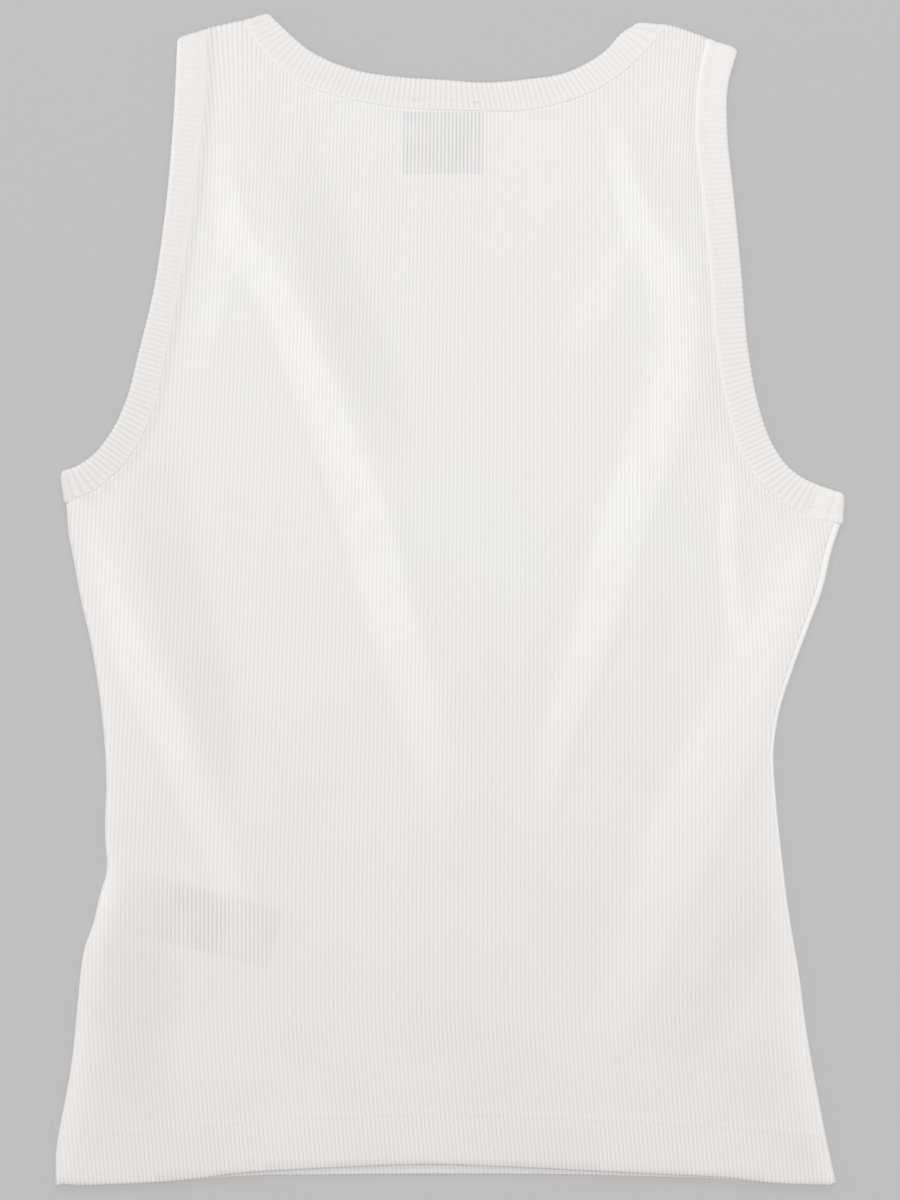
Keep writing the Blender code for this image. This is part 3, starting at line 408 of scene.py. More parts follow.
def moved(line, distance):
    """The line moved to its left, by one distance or one for each point."""
    return line + left_of(line) * np.reshape(distance, (-1, 1))


def lengthened(line, first_way=None, last_way=None, by=14.0):
    """The line with a straight piece at each end, along the ways given or straight on."""
    first_way = line[0] - line[3] if first_way is None else first_way
    last_way = line[-1] - line[-4] if last_way is None else last_way
    return np.vstack([line[0] + unit(first_way) * by, line, line[-1] + unit(last_way) * by])


def turned(a, b):
    """The z of the cross product of two flat directions."""
    return a[..., 0] * b[..., 1] - a[..., 1] * b[..., 0]


def crossing(first, second):
    """Where the first line last crosses the second: the point, and each one's place there."""
    run_a, run_b = np.diff(first, axis=0)[:, None], np.diff(second, axis=0)[None]
    between = second[None, :-1] - first[:-1, None]
    cross = turned(run_a, run_b)
    cross = np.where(np.abs(cross) < 1e-12, 1e-12, cross)
    t, s = turned(between, run_b) / cross, turned(between, run_a) / cross
    hits = np.argwhere((t >= 0) & (t <= 1) & (s >= 0) & (s <= 1))
    i, j = hits[-1]
    return first[i] + run_a[i, 0] * t[i, j], i, j


def outline_of(lines):
    """One closed outline from lines that cross at their ends, and each line's first point."""
    corners = [crossing(a, b) for a, b in zip(lines, lines[1:] + lines[:1])]
    points, starts = [], []
    for number, line in enumerate(lines):
        start, _, first = corners[number - 1]
        _, last, _ = corners[number]
        starts.append(sum(len(part) for part in points))
        points.append(np.vstack([start, line[first + 1:last + 1]]))
    return np.vstack(points), np.array(starts)


def nearest(spots, line, part=2048):
    """How far each spot is from a line's points, and the number of the nearest one."""
    line = line.astype(np.float32)
    gaps, which = [], []
    for start in range(0, len(spots), part):
        some = spots[start:start + part].astype(np.float32)
        square = (some[:, :1] - line[:, 0]) ** 2 + (some[:, 1:2] - line[:, 1]) ** 2
        found = square.argmin(axis=1)
        which.append(found)
        gaps.append(np.sqrt(square[np.arange(len(some)), found]))
    return np.concatenate(gaps).astype(float), np.concatenate(which)


# ---------------------------------------------------------------- heights

def ramp(value, start, stop):
    """0 before the start, 1 past the stop, and straight between them."""
    return np.clip((value - start) / (stop - start), 0.0, 1.0)


def eased(share):
    """A ramp with soft ends."""
    return share * share * (3 - 2 * share)


def bell(value, half_width):
    """1 at nothing, falling smoothly to next to nothing at twice the half width."""
    return np.exp(-(value / half_width) ** 2)


def table_at(table, value):
    """A two-column table read between its rows."""
    given, wanted = np.array(table, float).T
    return np.interp(value, given, wanted)


def folds(table, x, y, line_step=8.0):
    """Height of soft folds: an eased slope either side of each crest, tapered at both ends."""
    total = np.zeros_like(x)
    for fold in table:
        line = flowing(fold.places, line_step)
        run = run_along(line)
        away = np.full_like(x, np.inf)
        along = np.zeros_like(x)
        for a, b, run_a, run_b in zip(line, line[1:], run, run[1:]):
            chord = b - a
            part = ((x - a[0]) * chord[0] + (y - a[1]) * chord[1]) / (chord @ chord)
            part = np.clip(part, 0.0, 1.0)
            gap = np.hypot(x - a[0] - part * chord[0], y - a[1] - part * chord[1])
            nearer = gap < away
            away = np.where(nearer, gap, away)
            along = np.where(nearer, (run_a + part * (run_b - run_a)) / run[-1], along)
        taper = np.sin(math.pi * np.clip(along, *FOLD_ENDS)) ** FOLD_TAPER
        half = fold.first_half + (fold.last_half - fold.first_half) * along
        across = eased(ramp(away / half, 1.0, FOLD_TOP))
        total = total + fold.height * taper * across
    return total


def in_label(label, x, y):
    """A place in a label's own directions, from its middle."""
    c, s = math.cos(math.radians(label.tilt)), math.sin(math.radians(label.tilt))
    dx, dy = x - label.x, y - label.y
    return dx * c + dy * s, dy * c - dx * s


def care_label_rise(x, y):
    """How far the back is lifted by the care label beneath it."""
    along, across = in_label(CARE_LABEL, x, y)
    flat, slope = LABEL_RISE_MARGIN
    past_x = np.maximum(np.abs(along) - CARE_LABEL.length / 2 - flat, 0.0)
    past_y = np.maximum(np.abs(across) - CARE_LABEL.width / 2 - flat, 0.0)
    return LABEL_RISE * (1 - eased(ramp(np.hypot(past_x, past_y), 0.0, slope)))


def rest_top(y):
    """Height of the back's upper face before any fold, in the grooves between the ribs."""
    on_front = FLOOR_ON_FRONT + CLOTH
    at_chest = (FLOOR_ON_STRIPS + CLOTH - on_front) * ramp(y, LOWEST_LINE, CHEST_LINE)
    at_hem = (FLOOR_ON_STRIPS + 2 * CLOTH - on_front) * (1 - ramp(y, HEM_LINE, LOWEST_LINE))
    return on_front + at_chest + at_hem


def rolled_radius(y):
    """Outer radius of the front's rolled side, which comes up level with the back."""
    return (rest_top(y) + RIB_HEIGHT_IN_SOLID / 2) / 2


def in_hem(y):
    """1 in the turned-up hem, 0 above it."""
    return 1 - ramp(y, HEM_LINE - HEM_STEP, HEM_LINE)


def crest(number):
    """A rib's rounded section: 1 on its crest, at a whole number, and 0 in the groove."""
    return np.abs(np.cos(math.pi * number))


# ---------------------------------------------------------------- ribs

def rib_shift(x, y):
    """What is added to x to give the place that counts ribs, so that they lean."""
    shift = np.zeros_like(x)
    for row in LEANS:
        past = np.maximum((y - row.start) * row.way, 0.0)
        past = past * past / (past + LEAN_SOFTNESS)
        share = eased(ramp(x, row.x_with_none, row.x_with_all))
        shift = shift + row.lean * row.way * past * share
    return shift


class Ribs:
    """Counts the ribs across the garment, on both of its panels; whole numbers are crests."""

    before_first = 0.25  # how many ribs the first fold line is before the crest numbered 0

    def __init__(self):
        left, right = (flowing([(x, y) for y, x in side])
                       for side in (LEFT_SIDE[::-1], RIGHT_SIDE))
        inset = [rolled_radius(line[:, 1]) + SEAM_GAP_IN_SOLID for line in (left, right)]
        left = moved(left, -inset[0] - ROLL_IN_SOLID["left side"])
        right = moved(right, -inset[1] - ROLL_IN_SOLID["right side"])
        self.first = self.place(*left.T).max()
        self.pitch = (self.place(*right.T).min() - self.first) / RIBS_AT_WAIST

    @staticmethod
    def place(x, y):
        """The place across the cloth at which a point lies."""
        return x + rib_shift(x, y)

    def number(self, x, y):
        """A point's number."""
        return (self.place(x, y) - self.first) / self.pitch - self.before_first

    def x_at(self, number, y):
        """The x at which a number's line passes a y, by repeated correction."""
        place = self.first + (number + self.before_first) * self.pitch
        x = place + np.zeros_like(y)
        for _ in range(12):
            x = place - rib_shift(x, y)
        return x


# ---------------------------------------------------------------- meshes

def mesh_object(name, points, faces, look, rib_map=None, values=None):
    """A smooth object from points in millimetres and arrays of three- or four-cornered faces."""
    mesh = bpy.data.meshes.new(name)
    corners = np.concatenate([part.ravel() for part in faces])
    sizes = np.concatenate([np.full(len(part), part.shape[1]) for part in faces])
    mesh.vertices.add(len(points))
    mesh.vertices.foreach_set("co", (np.asarray(points) * MM).ravel())
    mesh.loops.add(len(corners))
    mesh.loops.foreach_set("vertex_index", corners.astype(np.int32))
    mesh.polygons.add(len(sizes))
    mesh.polygons.foreach_set("loop_start", np.concatenate([[0], np.cumsum(sizes)[:-1]]))
    mesh.update(calc_edges=True)
    if rib_map is not None:
        layer = mesh.uv_layers.new(name="rib_map")
        layer.uv.foreach_set("vector", rib_map[corners].astype(np.float32).ravel())
    for title, value in (values or {}).items():
        mesh.attributes.new(title, "FLOAT", "POINT").data.foreach_set("value", value)
    mesh.shade_smooth()
    if mesh.validate():
        raise ValueError(f"{name} has faces that had to be mended")
    mesh.materials.append(look)
    made = bpy.data.objects.new(name, mesh)
    bpy.context.scene.collection.objects.link(made)
    return made


def grid_faces(rows, columns, closed_rows=False, closed_columns=False):
    """The four-cornered faces of a grid of points, numbered row by row."""
    i, j = np.meshgrid(np.arange(rows - (not closed_rows)),
                       np.arange(columns - (not closed_columns)), indexing="ij")
    down, right = (i + 1) % rows, (j + 1) % columns
    corners = [i * columns + j, i * columns + right, down * columns + right, down * columns + j]
    return np.stack(corners, axis=-1).reshape(-1, 4)


def tubes(name, paths, ups, radii, look, sides=5):
    """Many short threads in one object: a ring of points round each place of each path, its
    radius given for the places in turn, with both ends closed."""
    along = unit(np.gradient(paths, axis=1))
    across = unit(np.cross(along, ups))
    over = np.cross(along, across)
    turn = 2 * math.pi * np.arange(sides)[:, None] / sides
    ring = across[:, :, None] * np.cos(turn) + over[:, :, None] * np.sin(turn)
    points = paths[:, :, None] + ring * np.reshape(radii, (1, -1, 1, 1))
    count, places = paths.shape[:2]
    one = grid_faces(places, sides, closed_columns=True)
    first = np.arange(count)[:, None, None] * places * sides
    caps = np.stack([np.arange(sides), np.arange(sides)[::-1] + (places - 1) * sides])
    return mesh_object(name, points.reshape(-1, 3),
                       [(one + first).reshape(-1, 4), (caps + first).reshape(-1, sides)], look)


def fill(ring, spots, shape):
    """Triangles between a clockwise ring of points and the spots inside it, worked out in a
    space where the lattice's cells are square."""
    points = shape(np.vstack([ring, spots]))
    flat = [Vector(point) for point in points.tolist()]
    count = len(ring)
    result = delaunay_2d_cdt(flat, [], [list(range(count - 1, -1, -1))], 1, 1e-7, True)
    came_from = np.array([which[0] for which in result[3]])
    faces = np.array([face for face, inside in zip(result[2], result[5]) if inside])
    faces = came_from[faces]
    a, b, c = (points[faces[:, i]] for i in range(3))
    wrong = turned(b - a, c - a) < 0
    faces[wrong] = faces[wrong][:, ::-1]
    return faces


def label_shell(name, label, low_height, thickness, look):
    """A thin wall over a label's outline that follows the cloth it lies on: an upper grid, the
    same grid lower down, and quads round their rims."""
    c, s = math.cos(math.radians(label.tilt)), math.sin(math.radians(label.tilt))
    along = np.linspace(-0.5, 0.5, 25) * label.length
    across = np.linspace(-0.5, 0.5, 13) * label.width
    v, u = np.meshgrid(across, along, indexing="ij")
    x, y = label.x + u * c - v * s, label.y + u * s + v * c
    low = low_height(x, y)
    rows, columns = x.shape
    number = np.arange(x.size).reshape(rows, columns)
    upper = grid_faces(rows, columns)
    rim = np.concatenate([number[0], number[1:, -1], number[-1, -2::-1], number[-2:0:-1, 0]])
    following = np.roll(rim, -1)
    walls = np.stack([rim + x.size, following + x.size, following, rim], axis=1)
    points = np.vstack([np.stack([x, y, low + thickness], -1).reshape(-1, 3),
                        np.stack([x, y, low], -1).reshape(-1, 3)])
    return mesh_object(name, points, [upper, upper[:, ::-1] + x.size, walls], look)


# ---------------------------------------------------------------- strips round the openings

class Strip:
    """A rib strip folded over an edge: a closed ring that lies double, the back's length on
    the front's, joined by a fold at either end. Its param runs 0 to 1 along the back, to 2
    round the fold, to 3 along the front and to 4 round the other fold."""

    inner_radius = BINDING_LAYER_GAP / 2
    axis_height = BINDING + BINDING_LAYER_GAP / 2

    def __init__(self, back_rows, front_rows, start_way, end_way):
        self.ways = np.array([unit(start_way), unit(end_way)])
        self.back = self.sections(back_rows)
        self.front = self.sections(front_rows)

    def sections(self, rows):
        """The smooth sections of one length, its ends drawn back to the folds' axes."""
        rows = np.array(rows, float)
        for end, way in zip((0, -1), self.ways):
            rows[end] -= np.tile(way * self.axis_height, 2)
        return flowing(rows)

    def across(self, param):
        """The edge and seam points of the sections, their upward directions, and how far
        each is from the back's length (0) to the front's (1)."""
        param = np.asarray(param, float)
        on_front = (param > 2) & (param < 3)
        share = np.select([param <= 1, param <= 2, param < 3], [param, 1.0, 3 - param], 0.0)
        rows = [read_at(line, np.arange(len(line)), share * (len(line) - 1))
                for line in (self.back, self.front)]
        row = np.where(on_front[..., None], rows[1], rows[0])
        turn = math.pi * (ramp(param, 1.0, 2.0) + ramp(param, 3.0, 4.0))
        way = np.where((param < 2.5)[..., None], self.ways[1], self.ways[0])
        up = np.concatenate([way * np.abs(np.sin(turn))[..., None], np.cos(turn)[..., None]], -1)
        return row[..., :2], row[..., 2:], up, (1 - np.cos(turn)) / 2

    def point(self, param, share, depth):
        """Points: their share of the way from the seam to the edge, and the cloth's depth."""
        edge, seam, up, front = self.across(param)
        flat = seam + (edge - seam) * np.asarray(share)[..., None]
        thinner = FRONT_LENGTH_DEPTH / BINDING
        depth = np.asarray(depth) * (1 - front * (1 - thinner))
        flat = np.concatenate([flat, np.full_like(flat[..., :1], self.axis_height)], axis=-1)
        return flat + up * (self.inner_radius + depth)[..., None]

    def lengths(self):
        """The lengths of the four stretches of the ring, in its param's order."""
        fold = math.pi * self.axis_height
        return [run_along(self.back)[-1], fold, run_along(self.front)[-1], fold]

    def columns(self, pitch):
        """The ring's columns of points: their params, their places in the count of ribs and
        round the ring, and 1 to 0 from between two stitches to the middle of one."""
        rows, run = [], 0.0
        for stretch, length in enumerate(self.lengths()):
            count = max(2, round(length / BINDING_RIB_PITCH)) * STRIP_COLUMNS
            part = np.arange(count) / count
            dip = np.cos(math.pi * part * stitch_count(length, pitch)) ** 4
            rows.append([stretch + part, part * count / STRIP_COLUMNS, part * length + run, dip])
            run += length
        return np.concatenate(rows, axis=1)[..., None]

    def normals(self, share, depth, width):
        """The outward directions of the section: along its width, and up."""
        flat = np.stack([share * width, depth * BINDING], axis=1)
        along = unit(np.roll(flat, -1, axis=0) - np.roll(flat, 1, axis=0))
        return np.stack([-along[:, 1], along[:, 0]]) * np.sign(along[len(share) // 2, 0])

    def build(self, name, look, rib_height, pitch, trim):
        """The ring's object: its section carried round it, ribbed across its whole width. The
        section's points move out along its own normal by the rib's height there. Between the
        stitches the cloth dips. Round a fold the edge draws in, so that its corners are
        rounded, and the ribs die away there and past the closing seams."""
        param, phase, run, dip = self.columns(pitch)
        share, depth, rib = (np.array(column) for column in zip(*STRIP_ROWS))
        edge, seam, up, _ = self.across(param[:, 0])
        width = np.linalg.norm(edge - seam, axis=1)[:, None]
        normal = self.normals(share, depth, np.median(width))
        folded = np.linalg.norm(up[:, :2], axis=1)[:, None]
        on_back = np.where(param < 2, np.minimum(param, 1.0), np.clip(3 - param, 0.0, 1.0))
        from_end = (1 - on_back) * self.lengths()[0]
        strength, lip_highlight, rim, pale = (np.interp(on_back, (0.0, 0.5, 1.0), row) for row in trim[:4])
        strength = strength * rib * ramp(folded, RIBS_END, 0.0)
        dip = dip * bell(share - STITCHED_SHARE, STITCH_DIP_WIDTH)
        # lift: painted light or shade along the strip, painted highlights beside its seam and along
        # its folded edge, and painted shade between the stitches
        lift = pale + lip_highlight * bell(share - LIP_SHARE, LIP_WIDTH) + rim * ramp(share, *RIM_HIGHLIGHT_SHARES)
        lift = lift - STITCH_PAINTED_SHADE * dip
        seams = np.zeros_like(strength)
        for place in trim.joins:
            slanted = from_end - place + (share - 0.5) * JOIN_SLANT
            seams = seams + bell(slanted, JOIN_HALF) * (param < 1)
            past = ramp(from_end, place + 1, place) * (param < 1)
            strength = strength * (1 - PAST_JOIN * past)
        rise = rib_height * strength * crest(phase) - JOIN_DEPTH * seams * rib - STITCH_DIP * dip
        uneven = 0.05 * np.sin(run * 0.21 + share * 3) + 0.04 * np.sin(run * 0.53 + 2.0)
        corner = 1 - np.sqrt(np.clip(1 - folded**2, 0.0, 1.0))
        rounded = share - corner * self.axis_height / width * ramp(share, 0.5, 1.0)
        points = self.point(
            np.broadcast_to(param, rise.shape),
            rounded + (normal[0] * rise) / width,
            depth * BINDING + normal[1] * rise + uneven * (rib > 0),
        )
        rib_map = np.stack(np.broadcast_arrays(phase, share * STRIP_LOOPS), axis=-1)
        faces = grid_faces(len(param), len(share), True, True)
        seam_line, edge_line = self.back[:, 2:], self.back[:, :2]
        if turned(np.gradient(seam_line, axis=0), edge_line - seam_line)[len(self.back) // 2] > 0:
            faces = faces[:, ::-1]
        # The closing seams get painted shade in their dip as well
        return mesh_object(name, points.reshape(-1, 3), [faces], look, rib_map.reshape(-1, 2),
                           {"plain": np.zeros(rise.size), "lift": (lift - seams).ravel(),
                            "smooth": 1 - np.minimum(strength, 1.05).ravel() ** 2})


def deeper(rows, by):
    """A front length: the back's sections drawn in towards the middle of the garment."""
    rows = np.array(rows, float)
    run = run_along(rows)
    inward = -np.sign(rows[:, 2]) * by * np.sin(math.pi * run / run[-1]) ** 2
    rows[:, 0] += inward
    rows[:, 2] += inward
    return rows


def front_neck_rows():
    """The front's neck from the left shoulder, down round the scoop and up to the right."""
    right = np.array(FRONT_NECK_HALF)
    left = right * (-1, 1, -1, 1)
    return np.vstack([BACK_NECK[0], left, right[-2::-1], BACK_NECK[-1]])


def strips():
    """The three strips: left armhole, neck and right armhole."""
    return (
        Strip(LEFT_ARMHOLE, deeper(LEFT_ARMHOLE, FRONT_ARMHOLE_DEEPER),
              LEFT_SHOULDER_WAY, LEFT_UNDERARM_WAY),
        Strip(BACK_NECK, front_neck_rows(), LEFT_SHOULDER_WAY, RIGHT_SHOULDER_WAY),
        Strip(RIGHT_ARMHOLE, deeper(RIGHT_ARMHOLE, FRONT_ARMHOLE_DEEPER),
              RIGHT_SHOULDER_WAY, RIGHT_UNDERARM_WAY),
    )


# ---------------------------------------------------------------- panels

def fold_lines():
    """The lines along which the cloth turns over: the garment's edges, set in by the radius."""
    edges = {
        "left side": flowing([(x, y) for y, x in LEFT_SIDE[::-1]]),
        "right side": flowing([(x, y) for y, x in RIGHT_SIDE]),
        "left shoulder": np.linspace(LEFT_ARMHOLE[0][2:], BACK_NECK[0][2:], SHOULDER_POINTS),
        "right shoulder": np.linspace(BACK_NECK[-1][2:], RIGHT_ARMHOLE[0][2:], SHOULDER_POINTS),
    }
    return {name: moved(line, -rolled_radius(line[:, 1])) for name, line in edges.items()}


def panel_lines(front):
    """The lines round a panel's cloth by their names, clockwise from the left underarm. The
    cloth is laid out flat, so what turns over an edge lies past that edge's fold line."""
    left, neck, right = (strip.front if front else strip.back for strip in strips())
    folded = fold_lines()
    inset = EDGE_ROUND - OTHER_TUCK
    rolls = {"left side": LEFT_ROLL, "right side": RIGHT_ROLL}
    lines = {
        "left armhole": (left[::-1, 2:], -inset, LEFT_UNDERARM_WAY, LEFT_SHOULDER_WAY),
        "left shoulder": (folded["left shoulder"], None, None, None),
        "neck": (neck[:, 2:], -inset, LEFT_SHOULDER_WAY, RIGHT_SHOULDER_WAY),
        "right shoulder": (folded["right shoulder"], None, None, None),
        "right armhole": (right[:, 2:], -inset, RIGHT_SHOULDER_WAY, RIGHT_UNDERARM_WAY),
        "right side": (folded["right side"], None, None, None),
        "hem": (flowing((FRONT_HEM if front else BACK_HEM)[::-1]), -EDGE_ROUND,
                left_of(folded["right side"])[-1], left_of(folded["left side"])[0]),
        "left side": (folded["left side"], None, None, None),
    }
    made = {}
    for name, (line, by, first_way, last_way) in lines.items():
        radius = rolled_radius(line[:, 1])
        if name in rolls:
            roll = table_at(rolls[name], line[:, 1])
            out = math.pi * radius + roll - EDGE_ROUND
            by = out if front else SEAM_TUCK[name] - EDGE_ROUND - roll
        elif by is None:
            by = FRONT_PAST_SHOULDER if front else radius * SHOULDER_TURN
        made[name] = lengthened(moved(line, by), first_way, last_way)
    return made


Spots = namedtuple("Spots", "x y number away seam shade side hem")


def far_spots(x, y):
    """Spots in the grooves, away from every edge."""
    none = np.zeros_like(x)
    return Spots(x, y, none + 0.5, none + 99.0, none, none, none, none)


class Cloth:
    """A panel laid out flat: the ring of points round its edge, the lattice of points inside
    it along its ribs, and a plain grid for its inner face."""

    def __init__(self, front, ribs, phases, rows):
        self.front, self.ribs, self.phases = front, ribs, np.array(phases)
        self.folds = fold_lines()
        self.turning = ("left side", "right side") if front else ("left shoulder", "right shoulder")
        lines = panel_lines(front)
        outline, starts = outline_of(list(lines.values()))
        columns, height, self.ring, along = self.crossings(outline)
        self.names = np.array(list(lines))[np.searchsorted(starts, along, side="right") - 1]
        self.lattice = self.between(columns, height, rows)

    def column(self, number):
        """The lattice's column at a rib number: whole for each of a rib's phases in turn."""
        whole = np.floor(number + 0.5)
        count = len(self.phases)
        part = np.interp(number - whole, [*self.phases, 0.5], np.arange(count + 1))
        return count * whole + part

    def square(self, points):
        """Places in the space where the lattice's cells are square."""
        number = self.ribs.number(*points.T)
        return np.column_stack([self.column(number), points[:, 1] * ROW_WEIGHT])

    def crossings(self, outline):
        """Where the outline crosses each column: columns, heights, and the ring of points that
        has these and the outline's own, with each one's place along the outline."""
        closed = np.vstack([outline, outline[:1]])
        column = self.column(self.ribs.number(*closed.T))
        low = np.ceil(np.minimum(column[:-1], column[1:])).astype(int)
        high = np.ceil(np.maximum(column[:-1], column[1:])).astype(int)
        count = high - low
        edge = np.repeat(np.arange(len(outline)), count)
        step = np.arange(count.sum()) - np.repeat(np.cumsum(count) - count, count)
        crossed = low[edge] + step
        part = (crossed - column[edge]) / (column[edge + 1] - column[edge])
        run = run_along(closed)
        place = edge + part
        spare = np.interp(place, np.arange(len(run)), run)
        spare.sort()
        own = run[:-1]
        slot = np.clip(np.searchsorted(spare, own), 1, len(spare) - 1)
        gap = np.minimum(np.abs(own - spare[slot - 1]), np.abs(own - spare[slot]))
        along = np.sort(np.concatenate([place, np.arange(len(own))[gap > CLEAR_OF_OUTLINE]]))
        ring, cut = (read_at(closed, np.arange(len(run)), wanted) for wanted in (along, place))
        return crossed, cut[:, 1], ring, along

    def between(self, columns, height, rows):
        """The lattice's points: on each column, the rows between each pair of crossings."""
        order = np.lexsort([height, columns])
        columns, height = columns[order], height[order]
        column, low, high = columns[::2], height[::2], height[1::2]
        first = np.searchsorted(rows, low + CLEAR_OF_RING)
        count = np.maximum(np.searchsorted(rows, high - CLEAR_OF_RING) - first, 0)
        column = np.repeat(column, count)
        step = np.arange(count.sum()) - np.repeat(np.cumsum(count) - count, count)
        y = rows[np.repeat(first, count) + step]
        size = len(self.phases)
        number = column // size + self.phases[column % size]
        return np.column_stack([self.ribs.x_at(number, y), y])

    def inner_grid(self):
        """A plain grid of points, with rows of points along the lines where the cloth turns."""
        low, high = self.ring.min(axis=0), self.ring.max(axis=0)
        x, y = np.meshgrid(*(np.arange(a, b, INNER_STEP) for a, b in zip(low, high)))
        grid = np.stack([x.ravel(), y.ravel()], axis=1)
        return self.with_turn_rows(grid, every=4, steps=3, clear=INNER_STEP / 3)

    def with_turn_rows(self, spots, every, steps, clear):
        """The spots, less those near the turned edges, with rows of points along these: every
        so many of the fold line's points, in so many steps of its turn."""
        rows = []
        for name in self.turning:
            line = self.folds[name][::every]
            turn = math.pi if self.front else SHOULDER_TURN
            for share in np.linspace(0, 1, steps + 1):
                rows.append(moved(line, share * turn * rolled_radius(line[:, 1])))
        rows = np.vstack(rows)
        gap, _ = nearest(spots, rows)
        return np.vstack([spots[gap > clear], rows])

    def inside(self, spots):
        """Which spots lie inside the ring, by counting the edges to their right."""
        ax, ay = self.ring.T
        bx, by = np.roll(self.ring, -1, axis=0).T
        rise = np.where(by == ay, 1.0, by - ay)
        found = []
        for part in np.array_split(spots, len(spots) // 2000 + 1):
            x, y = part[:, :1], part[:, 1:]
            spans = (ay > y) != (by > y)
            found.append((spans & (x < ax + (y - ay) / rise * (bx - ax))).sum(axis=1) % 2 == 1)
        return np.concatenate(found)

    def spots(self, points):
        """What the height functions need to know of each point."""
        away, which = nearest(points, self.ring)
        names = self.names[which]
        seam, shade = (np.select([names == name for name in table], list(table.values()), 0.0)
                       for table in (SEAM_DIP, SEAM_SHADE))
        return Spots(*points.T, self.ribs.number(*points.T), away, seam, shade,
                     np.isin(names, list(SEAM_TUCK)), names == "hem")

    def smooth(self, spots):
        """How little the ribs show at the rolled sides, from 0 to 1."""
        if self.front:
            return ROLL_SMOOTH * on_roll(spots)
        share = BACK_SMOOTH * bell(spots.away, SEAM_HOLDS) * spots.side
        return share * ramp(spots.y, *BACK_SMOOTH_Y)

    def turned_over(self, x, y, z):
        """The points in place: those past a fold line are carried round its axis. An arc's
        angle is the distance past the line over the radius; past half a turn the cloth lies
        flat again, facing the other way."""
        way_up = -1.0 if self.front else 1.0
        places = np.column_stack([x, y, z])
        flat = places[:, :2].copy()
        for name in self.turning:
            line = lengthened(self.folds[name], by=TURN_REACH)
            run = run_along(line)
            line = read_at(line, run, np.arange(0, run[-1], TURN_STEP))
            gap, which = nearest(flat, line)
            normal = left_of(line)[which]
            past = ((flat - line[which]) * normal).sum(axis=1)
            some = (past > 0) & (gap < TURN_REACH)
            past, normal, foot = past[some], normal[some], line[which[some]]
            slide = flat[some] - foot - past[:, None] * normal
            radius = rolled_radius(foot[:, 1])
            turn = np.minimum(past / radius, math.pi)
            reach = way_up * (places[some, 2] - radius)
            out = reach * np.sin(turn) - np.maximum(past - math.pi * radius, 0.0)
            places[some, :2] = foot + slide + normal * out[:, None]
            places[some, 2] = radius + way_up * reach * np.cos(turn)
        return places

    def build(self, name, heights, look):
        """The shell: heights gives its outer and inner faces' heights at each spot."""
        ring, lattice = self.ring, self.lattice
        if self.front:
            lattice = self.with_turn_rows(lattice, 1, ROLL_STEPS, CLEAR_OF_ROLL)
            lattice = lattice[self.inside(lattice)]
        lattice = lattice[nearest(lattice, ring)[0] > CLEAR_OF_RING]
        grid = self.inner_grid()
        grid = grid[self.inside(grid)]
        if self.front:
            grid = grid[grid[:, 1] > HEM_LINE + CLEAR_OF_HEM]
            grid = np.vstack([grid, self.lattice[self.lattice[:, 1] < HEM_LINE]])
        grid = grid[nearest(grid, ring)[0] > INNER_CLEAR]
        outer_flat, inner_flat = np.vstack([ring, lattice]), np.vstack([ring, grid])
        outer_spots, inner_spots = self.spots(outer_flat), self.spots(inner_flat)
        # The third value of heights is the cloth's painted light and shade
        outer, _, lift = heights(outer_spots)
        _, inner, inner_painted_light = heights(inner_spots)
        count = len(ring)
        closed = np.vstack([ring[-1:], ring, ring[:1]])
        outward = left_of(closed)[1:-1]
        reach = EDGE_ROUND + (self.names == "hem") * HEM_SCALLOP * crest(outer_spots.number[:count])
        layers = [self.turned_over(*outer_flat.T, outer)]
        low, high = inner[:count], outer[:count]
        for set_in, share in EDGE_ROWS:
            edge = ring + outward * (reach * (1 - set_in))[:, None]
            layers.append(self.turned_over(*edge.T, low + (high - low) * share))
        layers.append(self.turned_over(*inner_flat.T, inner))
        starts = np.cumsum([0] + [len(layer) for layer in layers])
        around = np.arange(count)
        following = (around + 1) % count
        faces = [fill(ring, lattice, self.square),
                 fill(ring, grid, self.square)[:, ::-1] + starts[-2]]
        for a, b in zip(starts[:-2], starts[1:-1]):
            faces.append(np.stack([a + around, a + following, b + following, b + around], axis=1))
        if self.front:
            faces = [part[:, ::-1] for part in faces]

        def everywhere(outside, within):
            """The outer face's values, the ring's again for each row of the edge, the inner's."""
            return np.concatenate([outside, *[outside[:count]] * len(EDGE_ROWS), within])

        flat = everywhere(outer_flat, inner_flat)
        rib_map = np.column_stack([self.ribs.number(*flat.T), flat[:, 1] / COURSE])
        plain = np.zeros(len(flat))
        plain[starts[-2] + count:] = 1.0
        if self.front:
            plain[flat[:, 1] < HEM_LINE] = 0.0
        smooth = everywhere(self.smooth(outer_spots), self.smooth(inner_spots))
        return mesh_object(name, np.vstack(layers), faces, look, rib_map,
                           {"plain": plain, "lift": everywhere(lift, inner_painted_light),
                            "smooth": smooth})


def levels(step, *bands):
    """Row heights: evenly spaced, and closer within each band (low, high, step)."""
    rows = np.arange(*ROWS_FROM_TO, step)
    for start, stop, fine in bands:
        rows = rows[(rows < start - step / 3) | (rows > stop + step / 3)]
        rows = np.concatenate([rows, np.arange(start, stop, fine)])
    return np.sort(rows)


def hem_rows(x, y, depth):
    """The two rows of stitching at the hem: a narrow dip at each, and a slight swell between."""
    away = y - table_at(HEM_STITCHING, x)
    dips = sum(bell(away - row, ROW_DIP_WIDTH) for row in STITCH_ROWS)
    return depth * (SWELL_SHARE * bell(away, SWELL_WIDTH) - dips)


